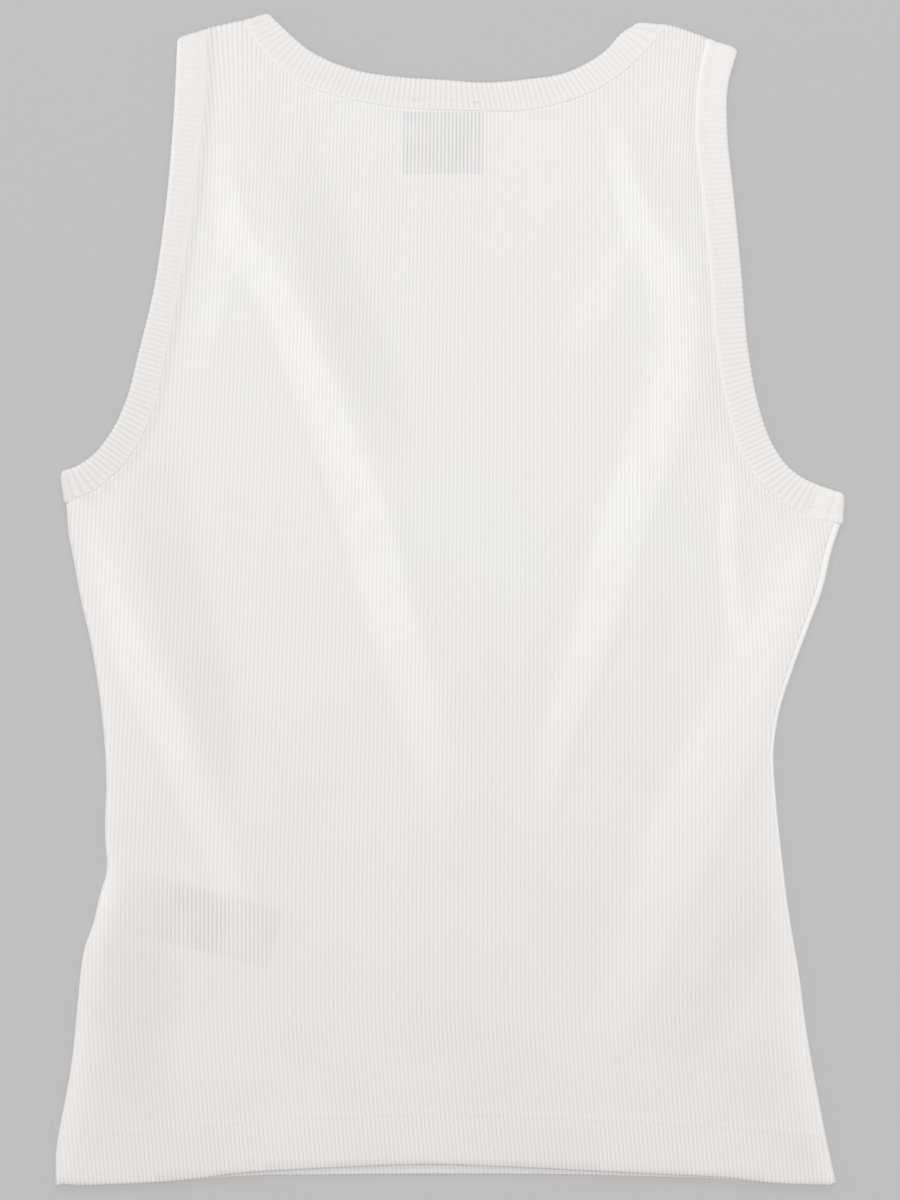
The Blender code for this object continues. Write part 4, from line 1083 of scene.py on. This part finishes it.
def unevenness(x, y):
    """Small soft irregularities of the knit, from waves of unlike length and direction."""
    return (
        0.5 * np.sin(x * 0.113 + y * 0.041 + 1.3)
        + 0.3 * np.sin(x * 0.231 - y * 0.067 + 4.1)
        + 0.35 * np.sin(y * 0.149 + x * 0.019 + 2.2)
        + 0.25 * np.sin(x * 0.61 + y * 0.33)
    )


def painted_fold_light(raised, y):
    """The painted light on a raised place, up to 1 and less towards the hem, and the painted shade
    in a trough."""
    light = eased(ramp(raised, *LIT_HEIGHTS)) * np.interp(y, FADE_Y, FADE)
    return light - TROUGH_PAINTED_SHADE * eased(ramp(-raised, 0.0, SHADED_DEPTH))


def back_heights(spots, wall, rib_height):
    """The back's outer and inner faces: the folded cloth, held down along the seams, with its
    ribs, the dip beside each seam and the hem's stitching."""
    x, y, number, away, seam, shade, side, hem = spots
    held = bell(away, SEAM_HOLDS) * np.maximum(seam, side)
    raised = (folds(FOLDS, x, y) + folds(BACK_CREASES, x, y)) * (1 - FOLDS_HELD * held)
    at_edge = bell(away, EDGE_WIDTH)
    base = rest_top(y) + raised + care_label_rise(x, y)
    base = base + UNEVEN * unevenness(x, y) * (1 - held)
    base = base - SEAM_SINK * bell(away - OTHER_TUCK, SEAM_SINK_WIDTH) * seam
    base = base - EDGE_SINK * at_edge * hem
    in_band = in_hem(y + HEM_LINE - table_at(HEM_STITCHING, x) + BAND_SHIFT)
    rise = rib_height * crest(number) * (1 - EDGE_SINK * at_edge * seam)
    rise = rise * (1 + RIB_UNEVEN * unevenness(y * 0.7, x * 2.0) + BAND_RIBS * in_band)
    outer = base + rise + hem_rows(x, y, BACK_ROW_DIP) + BAND_SWELL * in_band
    for pucker in PUCKERS:
        gap = np.hypot(x - pucker.x, y - pucker.y)
        outer = outer - pucker.depth * bell(gap, pucker.half_width)
    inner = base - wall - HEM_INNER * in_hem(y)
    # lift: painted light on the folds' crests and the hem's band, painted shade in the troughs
    lift = painted_fold_light(raised, y) + BAND_PAINTED_LIGHT * in_band
    # A painted shadow beside the seams
    lift = lift - SEAM_PAINTED_SHADOW * shade * bell(away - SEAM_SHADOW_WIDTH, SEAM_SHADOW_WIDTH)
    # Patches of painted light and painted shade
    for painted_patch in PAINTED_PATCHES:
        gap = np.hypot((x - painted_patch.x) / painted_patch.half_width, (y - painted_patch.y) / painted_patch.half_length)
        lift = lift + painted_patch.strength * bell(gap, 1.0)
    # Painted light along the side seams
    on_side = side * bell(away, SIDE_LIGHT_WIDTH) * ramp(y, *SIDE_LIGHT_Y)
    return outer, inner, lift + SIDE_PAINTED_LIGHT * on_side


def on_roll(spots):
    """1 on the front's rolled sides, where they are seen, and 0 away from them."""
    return eased(ramp(spots.away, *ON_ROLL)) * spots.side


def front_heights(spots, wall, rib_height):
    """The front's outer face, just above the floor, and its inner one, ribbed in the hem."""
    x, y, number, away, *_, hem = spots
    raised = folds(FRONT_CREASES, x, y) * (1 - FRONT_HELD * bell(away, SEAM_HOLDS))
    rolled = on_roll(spots)
    rise = FRONT_RIB * crest(number) * rib_height / RIB_HEIGHT_IN_SOLID
    rise = rise * (1 - ROLL_SMOOTH * rolled)
    outer = FRONT_GROOVE + raised - rise - hem_rows(x, y, FRONT_ROW_DIP)
    doubled = in_hem(y)
    inner = FRONT_GROOVE + raised + FRONT_WALL * wall + doubled * HEM_INNER
    inner = inner + FRONT_INNER_RIB * crest(number) * doubled
    inner = inner - FRONT_EDGE_SINK * bell(away, FRONT_EDGE_WIDTH) * hem
    # The third value is painted light on the rolled sides
    return np.maximum(outer, LEAST_HEIGHT), inner, ROLL_PAINTED_LIGHT * rolled


# ---------------------------------------------------------------- stitching

def stitch_arcs(middles, halves, ups, lift, sink):
    """Paths of short stitches: each bows out of the cloth by the lift and sinks at its ends."""
    t = ALONG[:, None]
    rise = (lift + sink) * (1 - t**2) - sink
    paths = middles[:, None] + halves[:, None] * t + ups[:, None] * rise
    return paths, np.repeat(ups[:, None], len(t), 1)


def stitch_count(length, pitch):
    """The whole number of stitches in a length."""
    return max(2, round(length / pitch))


def strip_stitches(strip, pitch):
    """The topstitching round a strip: one stitch for each pitch of each of its lengths."""
    paths, ups = [], []
    for stretch, length in enumerate(strip.lengths()):
        count = stitch_count(length, pitch)
        param = stretch + (np.arange(count)[:, None] + 0.5 + STRIP_STITCH_HALF * ALONG) / count
        depth = STRIP_STITCHES + STRIP_BOW * (1 - ALONG**2) - STRIP_SINK
        depth = np.broadcast_to(depth, param.shape)
        paths.append(strip.point(param, np.full(param.shape, STITCHED_SHARE), depth))
        ups.append(strip.across(param)[2])
    return np.concatenate(paths), np.concatenate(ups)


def bar_tack(strip, x):
    """A bar tack across a strip's topstitching: short threads laid side by side."""
    param = np.linspace(0.0, 1.0, 2000)
    edge, seam, _, _ = strip.across(param)
    middle = param[np.abs(seam[:, 0] - x).argmin()]
    place = (np.arange(TACK_THREADS) - TACK_THREADS // 2)[:, None] * TACK_SPACING
    param = np.repeat(middle + place / strip.lengths()[0], len(ALONG), axis=1)
    share = np.broadcast_to(STITCHED_SHARE + TACK_REACH * ALONG, param.shape)
    depth = np.broadcast_to(BINDING + TACK_TOP - TACK_BOW * ALONG**2, param.shape)
    return strip.point(param, share, depth), strip.across(param)[2]


def side_stitches(pitch):
    """Slanting stitches over the seam where the right side's roll meets the back."""
    line = fold_lines()["right side"]
    line = moved(line, -table_at(RIGHT_ROLL, line[:, 1]))
    low, high = SIDE_STITCHED
    line = line[(line[:, 1] > low) & (line[:, 1] < high)]
    points, along = spaced(line, pitch)
    out = np.column_stack([-along[:, 1], along[:, 0]])
    middles = np.column_stack([points, rest_top(points[:, 1]) + SIDE_STITCHES])
    halves = np.column_stack([SIDE_STITCH * out - SIDE_STITCH * along, np.zeros(len(points))])
    ups = np.tile([0.0, 0.0, 1.0], (len(points), 1))
    return stitch_arcs(middles, halves, ups, SIDE_BOW, SIDE_SINK)


def spaced(line, pitch):
    """Points at even spacing along a line, and the unit directions there."""
    run = run_along(line)
    place = np.arange(pitch / 2, run[-1], pitch)
    return read_at(line, run, place), unit(read_at(np.gradient(line, axis=0), run, place))


def hem_stitches(rib_height, front, pitch):
    """Two rows of stitches along a hem, on the panel's outer face."""
    runs = []
    for row in STITCH_ROWS:
        x = np.linspace(*HEM_STITCHED, 400)
        points, along = spaced(np.column_stack([x, table_at(HEM_STITCHING, x) + row]), pitch)
        none = np.zeros(len(points))
        if front:
            height = none + FRONT_STITCHES
        else:
            outer, _, _ = back_heights(far_spots(*points.T), CLOTH, rib_height)
            height = outer + BACK_STITCHES
        middle = np.column_stack([points, height])
        half = np.column_stack([along * pitch * STITCH_HALF, none])
        up = np.column_stack([none, none, none + (-1.0 if front else 1.0)])
        runs.append(stitch_arcs(middle, half, up, HEM_BOW, HEM_SINK))
    return [np.concatenate(part) for part in zip(*runs)]


# ---------------------------------------------------------------- looks

WHITE = (1.0, 1.0, 1.0, 1.0)
# The knit's surface: heights are shares of its depth, which is in metres
KNIT_DEPTH, STITCH_HEIGHT, NAP_HEIGHT, INNER_RIB_HEIGHT = 0.00035, 0.05, 0.2, 1.4
CHEVRON_SLANT = 0.6  # how far a stitch's V reaches down into the groove, in stitches
NAP_SCALE, DRIFT_SCALE, PATCH_SCALE, LABEL_SCALE = 2600.0, 16.0, 9.0, 55.0
DRIFT, DRIFT_Y, PATCHES = 0.62, (0.05, -0.30), 0.25
# How the lift values map to painted light and shade, multiplied into the colour
PAINTED_LIGHT_RANGE, PAINTED_LIGHT_TONES = (-3.0, 3.0), (0.84, 1.15)
# What shows through of the labels: tint, blur and fades (from, to, strength, strength)
LABEL_STRENGTH = 0.42
SHOW_THROUGH = (
    (NECK_LABEL, (0.50, 0.49, 0.53, 1.0), 0.5, ()),
    (CARE_LABEL, (0.52, 0.51, 0.55, 1.0), 1.5, ((-31, -12, 0.15, 1.0), (7, 14, 1.0, 0.6))),
)
LABEL_YARNS = (0.0004, 0.0005)
LABEL_BORDER = 1.5
LABEL_SHEEN = (0.3, 0.3, 0.34, 1.0)


class Look:
    """Builds one material: each call adds a node, feeds its sockets and gives its output."""

    def __init__(self, name, roughness, sheen=0.0):
        self.material = bpy.data.materials.new(name)
        self.material.use_nodes = True
        self.tree = self.material.node_tree
        self.shader = self.tree.nodes["Principled BSDF"]
        self.feed(self.shader, {"Roughness": roughness, "Specular IOR Level": 0.2,
                                "Sheen Weight": sheen, "Sheen Roughness": 0.4})
        self.place = self.node("TexCoord").outputs["Object"]

    def feed(self, node, values):
        """Gives a node's sockets, by name or number, a value or another node's output."""
        for socket, value in values.items():
            if isinstance(value, bpy.types.NodeSocket):
                self.tree.links.new(value, node.inputs[socket])
            else:
                node.inputs[socket].default_value = value

    def node(self, kind, values=None, **settings):
        made = self.tree.nodes.new("ShaderNode" + kind)
        for title, value in settings.items():
            setattr(made, title, value)
        self.feed(made, values or {})
        return made

    def math(self, operation, *values):
        return self.node("Math", dict(enumerate(values)), operation=operation).outputs[0]

    def times(self, first, second):
        return self.math("MULTIPLY", first, second)

    def between(self, value, low, high, to_low=0.0, to_high=1.0, kind="SMOOTHSTEP"):
        values = dict(enumerate((value, low, high, to_low, to_high)))
        return self.node("MapRange", values, interpolation_type=kind).outputs[0]

    def mix(self, factor, first, second, blend="MIX"):
        values = {0: factor, 6: first, 7: second}
        return self.node("Mix", values, data_type="RGBA", blend_type=blend).outputs[2]

    def noise(self, scale, detail=2.0):
        values = {"Vector": self.place, "Scale": scale, "Detail": detail}
        return self.node("TexNoise", values).outputs["Fac"]

    def parts(self, vector):
        return self.node("SeparateXYZ", {0: vector}).outputs

    def attribute(self, name):
        return self.node("Attribute", attribute_name=name).outputs["Fac"]

    def finish(self, colour, height, distance):
        """Joins the colour, and the height in shares of a distance in metres, to the shader."""
        bump = self.node("Bump", {"Strength": 1.0, "Distance": distance, "Height": height})
        self.feed(self.shader, {"Normal": bump.outputs["Normal"], "Base Color": colour})
        return self.material


def label_mask(look, label, blur, fades=()):
    """1 over a label and 0 beyond it, with its edge blurred over a length in millimetres. A
    fade (from, to, strength, strength) changes it along the label."""
    values = {"Location": (label.x * MM, label.y * MM, 0.0),
              "Rotation": (0.0, 0.0, math.radians(label.tilt)), "Vector": look.place}
    x, y, _ = look.parts(look.node("Mapping", values, vector_type="TEXTURE").outputs[0])
    masks = []
    for part, size in ((x, label.length), (y, label.width)):
        low, high = ((size / 2 + side * blur) * MM for side in (-1, 1))
        masks.append(look.between(look.math("ABSOLUTE", part), low, high, 1.0, 0.0))
    mask = look.times(*masks)
    for start, stop, first, last in fades:
        mask = look.times(mask, look.between(x, start * MM, stop * MM, first, last))
    return mask


def rgba(colour, share=1.0):
    """A colour, or a share of it, as a socket's four numbers."""
    return (*(share * part for part in colour), 1.0)


def rib_look(name, cloth, over_labels=False):
    """Fine rib knit: stitches in a V down each rib, painted shade in the grooves, which are also a
    little warmer, a soft nap, and a slow drift of colour. Over the labels their dark cloth shows
    between the ribs."""
    look = Look(name, roughness=0.92, sheen=0.25)
    across, down, _ = look.parts(look.node("UVMap", uv_map="rib_map").outputs[0])
    on_crest = look.math("ABSOLUTE", look.math("COSINE", look.times(across, math.pi)))
    groove = look.math("SUBTRACT", 1.0, on_crest)
    chevron = look.math("ADD", down, look.times(groove, CHEVRON_SLANT))
    stitch = look.math("COSINE", look.times(chevron, 2 * math.pi))
    stitch = look.times(stitch, look.math("POWER", on_crest, 0.7))
    nap = look.noise(NAP_SCALE)
    height = look.math("ADD", look.times(stitch, STITCH_HEIGHT), look.times(nap, NAP_HEIGHT))
    inside = look.times(look.attribute("plain"), look.times(on_crest, INNER_RIB_HEIGHT))
    height = look.math("ADD", height, inside)

    # Painted shade in the grooves, less where the ribs are smoothed away
    groove_shade = look.times(groove, look.math("SUBTRACT", 1.0, look.attribute("smooth")))
    colour = look.mix(groove_shade, rgba(cloth.colour), rgba(cloth.groove_shade_colour))
    _, y, _ = look.parts(look.place)
    drift = look.times(look.between(y, *DRIFT_Y),
                       look.between(look.noise(DRIFT_SCALE, 1.0), 0.35, 0.65, 0.75, 1.1))
    colour = look.mix(look.times(drift, DRIFT), colour, rgba(cloth.low_tint), "MULTIPLY")
    patches = look.between(look.noise(PATCH_SCALE, 3.0), 0.3, 0.7)
    colour = look.mix(look.times(patches, PATCHES), colour, rgba(cloth.warm_tint), "MULTIPLY")
    # The lift values become painted light and shade on the colour
    lifted = look.attribute("lift")
    lift = look.between(lifted, *PAINTED_LIGHT_RANGE, *PAINTED_LIGHT_TONES, "LINEAR")
    shade = look.node("CombineColor", {0: lift, 1: lift, 2: lift}).outputs[0]
    colour = look.mix(1.0, colour, shade, "MULTIPLY")
    if over_labels:
        through = look.times(look.between(groove, 0.0, 0.75, 0.15, 1.0),
                             look.between(lifted, 0.1, 1.0, 1.0, 0.3))
        through = look.times(through, look.between(look.noise(LABEL_SCALE), 0.3, 0.6, 0.6, 1.05))
        for label, tint, blur, fades in SHOW_THROUGH:
            mask = look.times(label_mask(look, label, blur, fades), through)
            colour = look.mix(look.times(mask, LABEL_STRENGTH), colour, tint)
    return look.finish(colour, height, KNIT_DEPTH)


def thread_look(name, colour):
    """Sewing thread, faintly mottled."""
    look = Look(name, roughness=0.7)
    shade = look.mix(look.noise(900.0), rgba(colour), rgba(colour, 0.94))
    return look.finish(shade, look.noise(4000.0), 0.00001)


def label_look(name, colour, label, edge_colour):
    """A blank woven label: fine crosswise and lengthwise yarns, and a plain woven border."""
    look = Look(name, roughness=0.55, sheen=0.3)
    x, y, _ = look.parts(look.place)
    yarns = [look.math("SINE", look.times(part, 2 * math.pi / pitch))
             for part, pitch in zip((x, y), LABEL_YARNS)]
    weave = look.times(*yarns)
    inner = label._replace(length=label.length - 2 * LABEL_BORDER,
                           width=label.width - 2 * LABEL_BORDER)
    base = look.mix(label_mask(look, inner, 0.2), rgba(edge_colour), rgba(colour))
    shade = look.mix(look.times(look.noise(400.0), 0.2), base, LABEL_SHEEN)
    return look.finish(shade, weave, 0.00005)


def floor_look(colour, glow):
    """A plain pale table with a hardly visible mottle, lit through from below, so that the
    shadows on it stay faint."""
    look = Look("floor_paper", roughness=1.0)
    look.feed(look.shader, {"Emission Color": WHITE, "Emission Strength": glow,
                            "Specular IOR Level": 0.0})
    shade = look.mix(look.noise(30.0), rgba(colour), rgba(colour, 0.992))
    return look.finish(shade, look.noise(900.0), 0.00002)


# ---------------------------------------------------------------- settings

def length_setting(name, description, default, low, high):
    """A length, in metres."""
    return FloatProperty(name=name, description=description, default=default, min=low, max=high,
                         unit="LENGTH", precision=5)


def colour_setting(name, description, default):
    """A colour."""
    return FloatVectorProperty(name=name, description=description, default=default, min=0, max=1,
                               subtype="COLOR")


def strength_setting(name, description, default):
    """The strength of a light that has no power of its own."""
    return FloatProperty(name=name, description=description, default=default, min=0.0, max=3.0)


def power_setting(name, description, default):
    """A lamp's power."""
    return FloatProperty(name=name, description=description, default=default, min=0.0, max=500.0,
                         subtype="POWER")


class LAIDTOP_PG_knit(PropertyGroup):
    """Sizes and colours of the two panels."""
    wall: length_setting("Wall", "Thickness of one layer in the grooves", 0.0012, 0.0005, 0.002)
    rib_height: length_setting("Rib height", "Crest of a rib above the groove",
                               0.00044, 0.0, 0.001)
    colour: colour_setting("Colour", "Knit on the ribs' crests", (0.84, 0.84, 0.824))
    # The colour between the ribs is painted shade, a little warmer than the crests
    groove_shade_colour: colour_setting("Groove", "Knit between the ribs", (0.75, 0.743, 0.726))
    low_tint: colour_setting("Towards the hem", "Tint that comes in towards the hem",
                             (0.935, 0.888, 0.896))
    warm_tint: colour_setting("Warmer patches", "Tint of large faint patches", (0.994, 0.977, 0.970))


class LAIDTOP_PG_bindings(PropertyGroup):
    """Sizes and colours of the strips round the neck and armholes."""
    rib_height: length_setting("Rib height", "Crest of a rib above the groove",
                               0.00022, 0.0, 0.0006)
    colour: colour_setting("Colour", "Knit on the ribs' crests", (0.805, 0.80, 0.785))
    # The colour between the ribs is painted shade, a little warmer than the crests
    groove_shade_colour: colour_setting("Groove", "Knit between the ribs", (0.725, 0.714, 0.695))
    low_tint: colour_setting("Towards the underarm", "Tint that comes in lower down",
                             (0.975, 0.955, 0.95))
    warm_tint: colour_setting("Warmer patches", "Tint of large faint patches", (0.998, 0.985, 0.98))


class LAIDTOP_PG_stitching(PropertyGroup):
    """Sizes and colour of the sewing thread."""
    radius: length_setting("Radius", "Radius of the thread", 0.00015, 0.00005, 0.0005)
    pitch: length_setting("Stitch", "Length of one stitch", 0.0026, 0.001, 0.005)
    colour: colour_setting("Colour", "Thread", (0.84, 0.83, 0.81))


class LAIDTOP_PG_labels(PropertyGroup):
    """Colours of the two blank labels."""
    neck_colour: colour_setting("Neck label", "Woven cloth of the neck label", (0.03, 0.035, 0.06))
    care_colour: colour_setting("Care label", "Satin of the care label", (0.10, 0.11, 0.15))


class LAIDTOP_PG_stage(PropertyGroup):
    """The floor, the lights and the camera."""
    floor_colour: colour_setting("Floor", "Colour of the floor", (0.205, 0.205, 0.205))
    glow: strength_setting("Glow", "Strength of the light that comes through the floor", 0.312)
    camera_height: length_setting("Camera height", "Height of the camera above the floor", 3, 0.5, 10)
    view_height: length_setting("View", "Length of floor that the view's long side shows", 0.6, 0.1, 3)
    surround: strength_setting("Surround", "Strength of the light from all round", 0.42)
    overhead: power_setting("Overhead light", "Power of the light straight above", 45.0)
    key: power_setting("Key light", "Power of the large light beyond the neck", 18.0)
    left: power_setting("Left light", "Power of the light at the left", 7.0)
    right: power_setting("Right light", "Power of the light at the right", 5.0)


class LAIDTOP_PG_all(PropertyGroup):
    """All the settings of the laid tank top."""
    knit: PointerProperty(type=LAIDTOP_PG_knit)
    bindings: PointerProperty(type=LAIDTOP_PG_bindings)
    stitching: PointerProperty(type=LAIDTOP_PG_stitching)
    labels: PointerProperty(type=LAIDTOP_PG_labels)
    stage: PointerProperty(type=LAIDTOP_PG_stage)


# ---------------------------------------------------------------- operators

def settle(piece, node):
    """Puts a piece on the root body and hides the solid of the node it stands for, if one is given."""
    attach(piece, "root")
    if node:
        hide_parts(node)


def knit_sizes(knit):
    """The sizes of a panel's knit, in millimetres."""
    return {"wall": knit.wall / MM, "rib_height": knit.rib_height / MM}


def flat_area(front):
    """The area of a panel's cut: its laid-out outline and the turned-up hem."""
    ring, _ = outline_of(list(panel_lines(front).values()))
    area = abs(turned(ring, np.roll(ring, -1, axis=0)).sum()) / 2
    return (area + HEM_BAND * HEM_LENGTH) * MM * MM


class MESH_OT_laid_top_back(Operator):
    """Make the back: a ribbed shell with its folds, the shoulders turned over"""
    bl_idname = "mesh.laid_top_back"
    bl_label = "Back"

    def execute(self, context):
        knit = context.scene.laid_top.knit
        rows = levels(BACK_ROW, (*FINE_ROWS_FROM_TO, FINE_ROW), (*ROLL_ROWS_FROM_TO, ROLL_ROW))
        cloth = Cloth(False, Ribs(), BACK_PHASES, rows)
        look = rib_look("back_rib_knit", knit, over_labels=True)
        back = cloth.build("back_knit", partial(back_heights, **knit_sizes(knit)), look)
        settle(back, "back_panel")
        flat_area(False)
        return {"FINISHED"}


class MESH_OT_laid_top_front(Operator):
    """Make the front: a ribbed shell that lies on the floor, its sides rolled up to the back"""
    bl_idname = "mesh.laid_top_front"
    bl_label = "Front"

    def execute(self, context):
        knit = context.scene.laid_top.knit
        rows = levels(FRONT_ROW, (*FINE_ROWS_FROM_TO, 2 * FINE_ROW))
        cloth = Cloth(True, Ribs(), FRONT_PHASES, rows)
        look = rib_look("front_rib_knit", knit)
        front = cloth.build("front_knit", partial(front_heights, **knit_sizes(knit)), look)
        settle(front, "front_panel")
        flat_area(True)
        return {"FINISHED"}


class MESH_OT_laid_top_bindings(Operator):
    """Make the three folded rib strips round the neck and the armholes"""
    bl_idname = "mesh.laid_top_bindings"
    bl_label = "Bindings"

    def execute(self, context):
        bindings = context.scene.laid_top.bindings
        look = rib_look("binding_rib_knit", bindings)
        pitch = context.scene.laid_top.stitching.pitch
        nodes = ("armhole_binding_left", "neck_binding", "armhole_binding_right")
        for strip, node, (name, trim) in zip(strips(), nodes, TRIMS.items()):
            made = strip.build(name + "_rib", look, bindings.rib_height / MM, pitch / MM, trim)
            settle(made, node)
            round(sum(strip.lengths()) * MM, 3)
        return {"FINISHED"}


class MESH_OT_laid_top_stitching(Operator):
    """Make the stitching of the openings, hems and right side, the tacks and a loose thread"""
    bl_idname = "mesh.laid_top_stitching"
    bl_label = "Stitching"

    def execute(self, context):
        thread = context.scene.laid_top.stitching
        knit = context.scene.laid_top.knit
        look = thread_look("sewing_thread", thread.colour)
        pitch = thread.pitch / MM
        radii = thread.radius / MM * np.array(THREAD_ENDS)

        def sewn(name, slot, paths, ups):
            settle(tubes(name, paths, ups, radii, look), None)

        for name, strip in zip(TRIMS, strips()):
            runs = [strip_stitches(strip, pitch)]
            if name == "neck":
                runs += [bar_tack(strip, x) for x in BAR_TACKS]
            stitches = (np.concatenate(part) for part in zip(*runs))
            sewn(name + "_topstitching", "binding_rib", *stitches)
        for name, front in (("back", False), ("front", True)):
            stitches = hem_stitches(knit.rib_height / MM, front, pitch)
            sewn(name + "_hem_stitching", "rib_knit", *stitches)
        sewn("right_side_stitching", "rib_knit", *side_stitches(pitch))
        loose = np.array([LOOSE_END])
        sewn("loose_thread", "rib_knit", loose, np.broadcast_to((0.0, 0.0, 1.0), loose.shape))
        return {"FINISHED"}


class MESH_OT_laid_top_labels(Operator):
    """Make the blank neck label and care label inside the garment"""
    bl_idname = "mesh.laid_top_labels"
    bl_label = "Labels"

    def execute(self, context):
        colours = context.scene.laid_top.labels
        heights = partial(back_heights, **knit_sizes(context.scene.laid_top.knit))

        def under_back(x, y):
            inner = heights(far_spots(x.ravel(), y.ravel()))[1].reshape(x.shape)
            return inner - LABEL_BELOW_BACK - LABEL_WALL

        def on_front(x, y):
            return np.full_like(x, LABEL_ON_FRONT)

        for node, slot, label, colour, edge, low in (
            ("neck_label", "neck_label_weave", NECK_LABEL, colours.neck_colour,
             (0.02, 0.02, 0.04), under_back),
            ("care_label", "care_label_satin", CARE_LABEL, colours.care_colour,
             (0.08, 0.09, 0.12), on_front),
        ):
            look = label_look(slot, colour, label, edge)
            made = label_shell(node + "_cloth", label, low, LABEL_WALL, look)
            settle(made, node)
        return {"FINISHED"}


class SCENE_OT_laid_top_stage(Operator):
    """Make the floor, the soft lights and the camera straight above"""
    bl_idname = "scene.laid_top_stage"
    bl_label = "Stage"

    def execute(self, context):
        stage = context.scene.laid_top.stage
        scene = context.scene
        corners = [(x * FLOOR_HALF, y * FLOOR_HALF, FLOOR_HEIGHT)
                   for x, y in ((-1, -1), (1, -1), (1, 1), (-1, 1))]
        floor = mesh_object("floor", corners, [np.array([[0, 1, 2, 3]])],
                            floor_look(stage.floor_colour, stage.glow))

        camera = bpy.data.objects.new("camera", bpy.data.cameras.new("camera"))
        camera.location = (0.0, CAMERA_Y * MM, stage.camera_height)
        camera.data.sensor_fit = "AUTO"
        camera.data.sensor_width = SENSOR
        camera.data.lens = SENSOR * stage.camera_height / stage.view_height
        scene.collection.objects.link(camera)
        scene.camera = camera

        for name, place, power, width, depth in (
            ("overhead_light", (0.0, 0.0, 3.4), stage.overhead, 1.4, 1.4),
            ("key_light", (0.1, 1.9, 2.0), stage.key, 2.2, 1.2),
            ("left_light", (-1.9, 0.1, 1.0), stage.left, 1.0, 2.0),
            ("right_light", (1.9, 0.1, 1.0), stage.right, 1.0, 2.0),
        ):
            light = bpy.data.lights.new(name, "AREA")
            light.shape = "RECTANGLE"
            light.size, light.size_y, light.energy = width, depth, power
            lamp = bpy.data.objects.new(name, light)
            lamp.location = place
            lamp.rotation_euler = (-Vector(place)).to_track_quat("-Z", "Y").to_euler()
            scene.collection.objects.link(lamp)

        world = bpy.data.worlds.new("surround")
        world.use_nodes = True
        background = world.node_tree.nodes["Background"]
        background.inputs["Color"].default_value = WHITE
        background.inputs["Strength"].default_value = stage.surround
        scene.world = world
        scene.view_settings.view_transform = "Standard"
        return {"FINISHED"}


class VIEW3D_PT_laid_top(Panel):
    """Lists the pieces of the laid tank top and their settings"""
    bl_idname = "VIEW3D_PT_laid_top"
    bl_label = "Laid Tank Top"
    bl_space_type = "VIEW_3D"
    bl_region_type = "UI"
    bl_category = "Tank Top"

    def draw(self, context):
        for operator in OPERATORS:
            self.layout.operator(operator.bl_idname)
        for name, group in context.scene.laid_top.bl_rna.properties.items():
            if name in SETTINGS:
                box = self.layout.box()
                box.label(text=group.name)
                values = getattr(context.scene.laid_top, name)
                for prop in SETTINGS[name].__annotations__:
                    box.prop(values, prop)


OPERATORS = (MESH_OT_laid_top_back, MESH_OT_laid_top_front, MESH_OT_laid_top_bindings,
             MESH_OT_laid_top_stitching, MESH_OT_laid_top_labels, SCENE_OT_laid_top_stage)
SETTINGS = {"knit": LAIDTOP_PG_knit, "bindings": LAIDTOP_PG_bindings,
            "stitching": LAIDTOP_PG_stitching, "labels": LAIDTOP_PG_labels,
            "stage": LAIDTOP_PG_stage}
CLASSES = (*SETTINGS.values(), LAIDTOP_PG_all, *OPERATORS, VIEW3D_PT_laid_top)


def register():
    for made in CLASSES:
        bpy.utils.register_class(made)
    bpy.types.Scene.laid_top = PointerProperty(type=LAIDTOP_PG_all)


def unregister():
    del bpy.types.Scene.laid_top
    for made in reversed(CLASSES):
        bpy.utils.unregister_class(made)


def main():
    """Makes every piece and the stage."""
    register()
    bpy.ops.mesh.laid_top_back()
    bpy.ops.mesh.laid_top_front()
    bpy.ops.mesh.laid_top_bindings()
    bpy.ops.mesh.laid_top_stitching()
    bpy.ops.mesh.laid_top_labels()
    bpy.ops.scene.laid_top_stage()


if __name__ == "__main__":
    main()
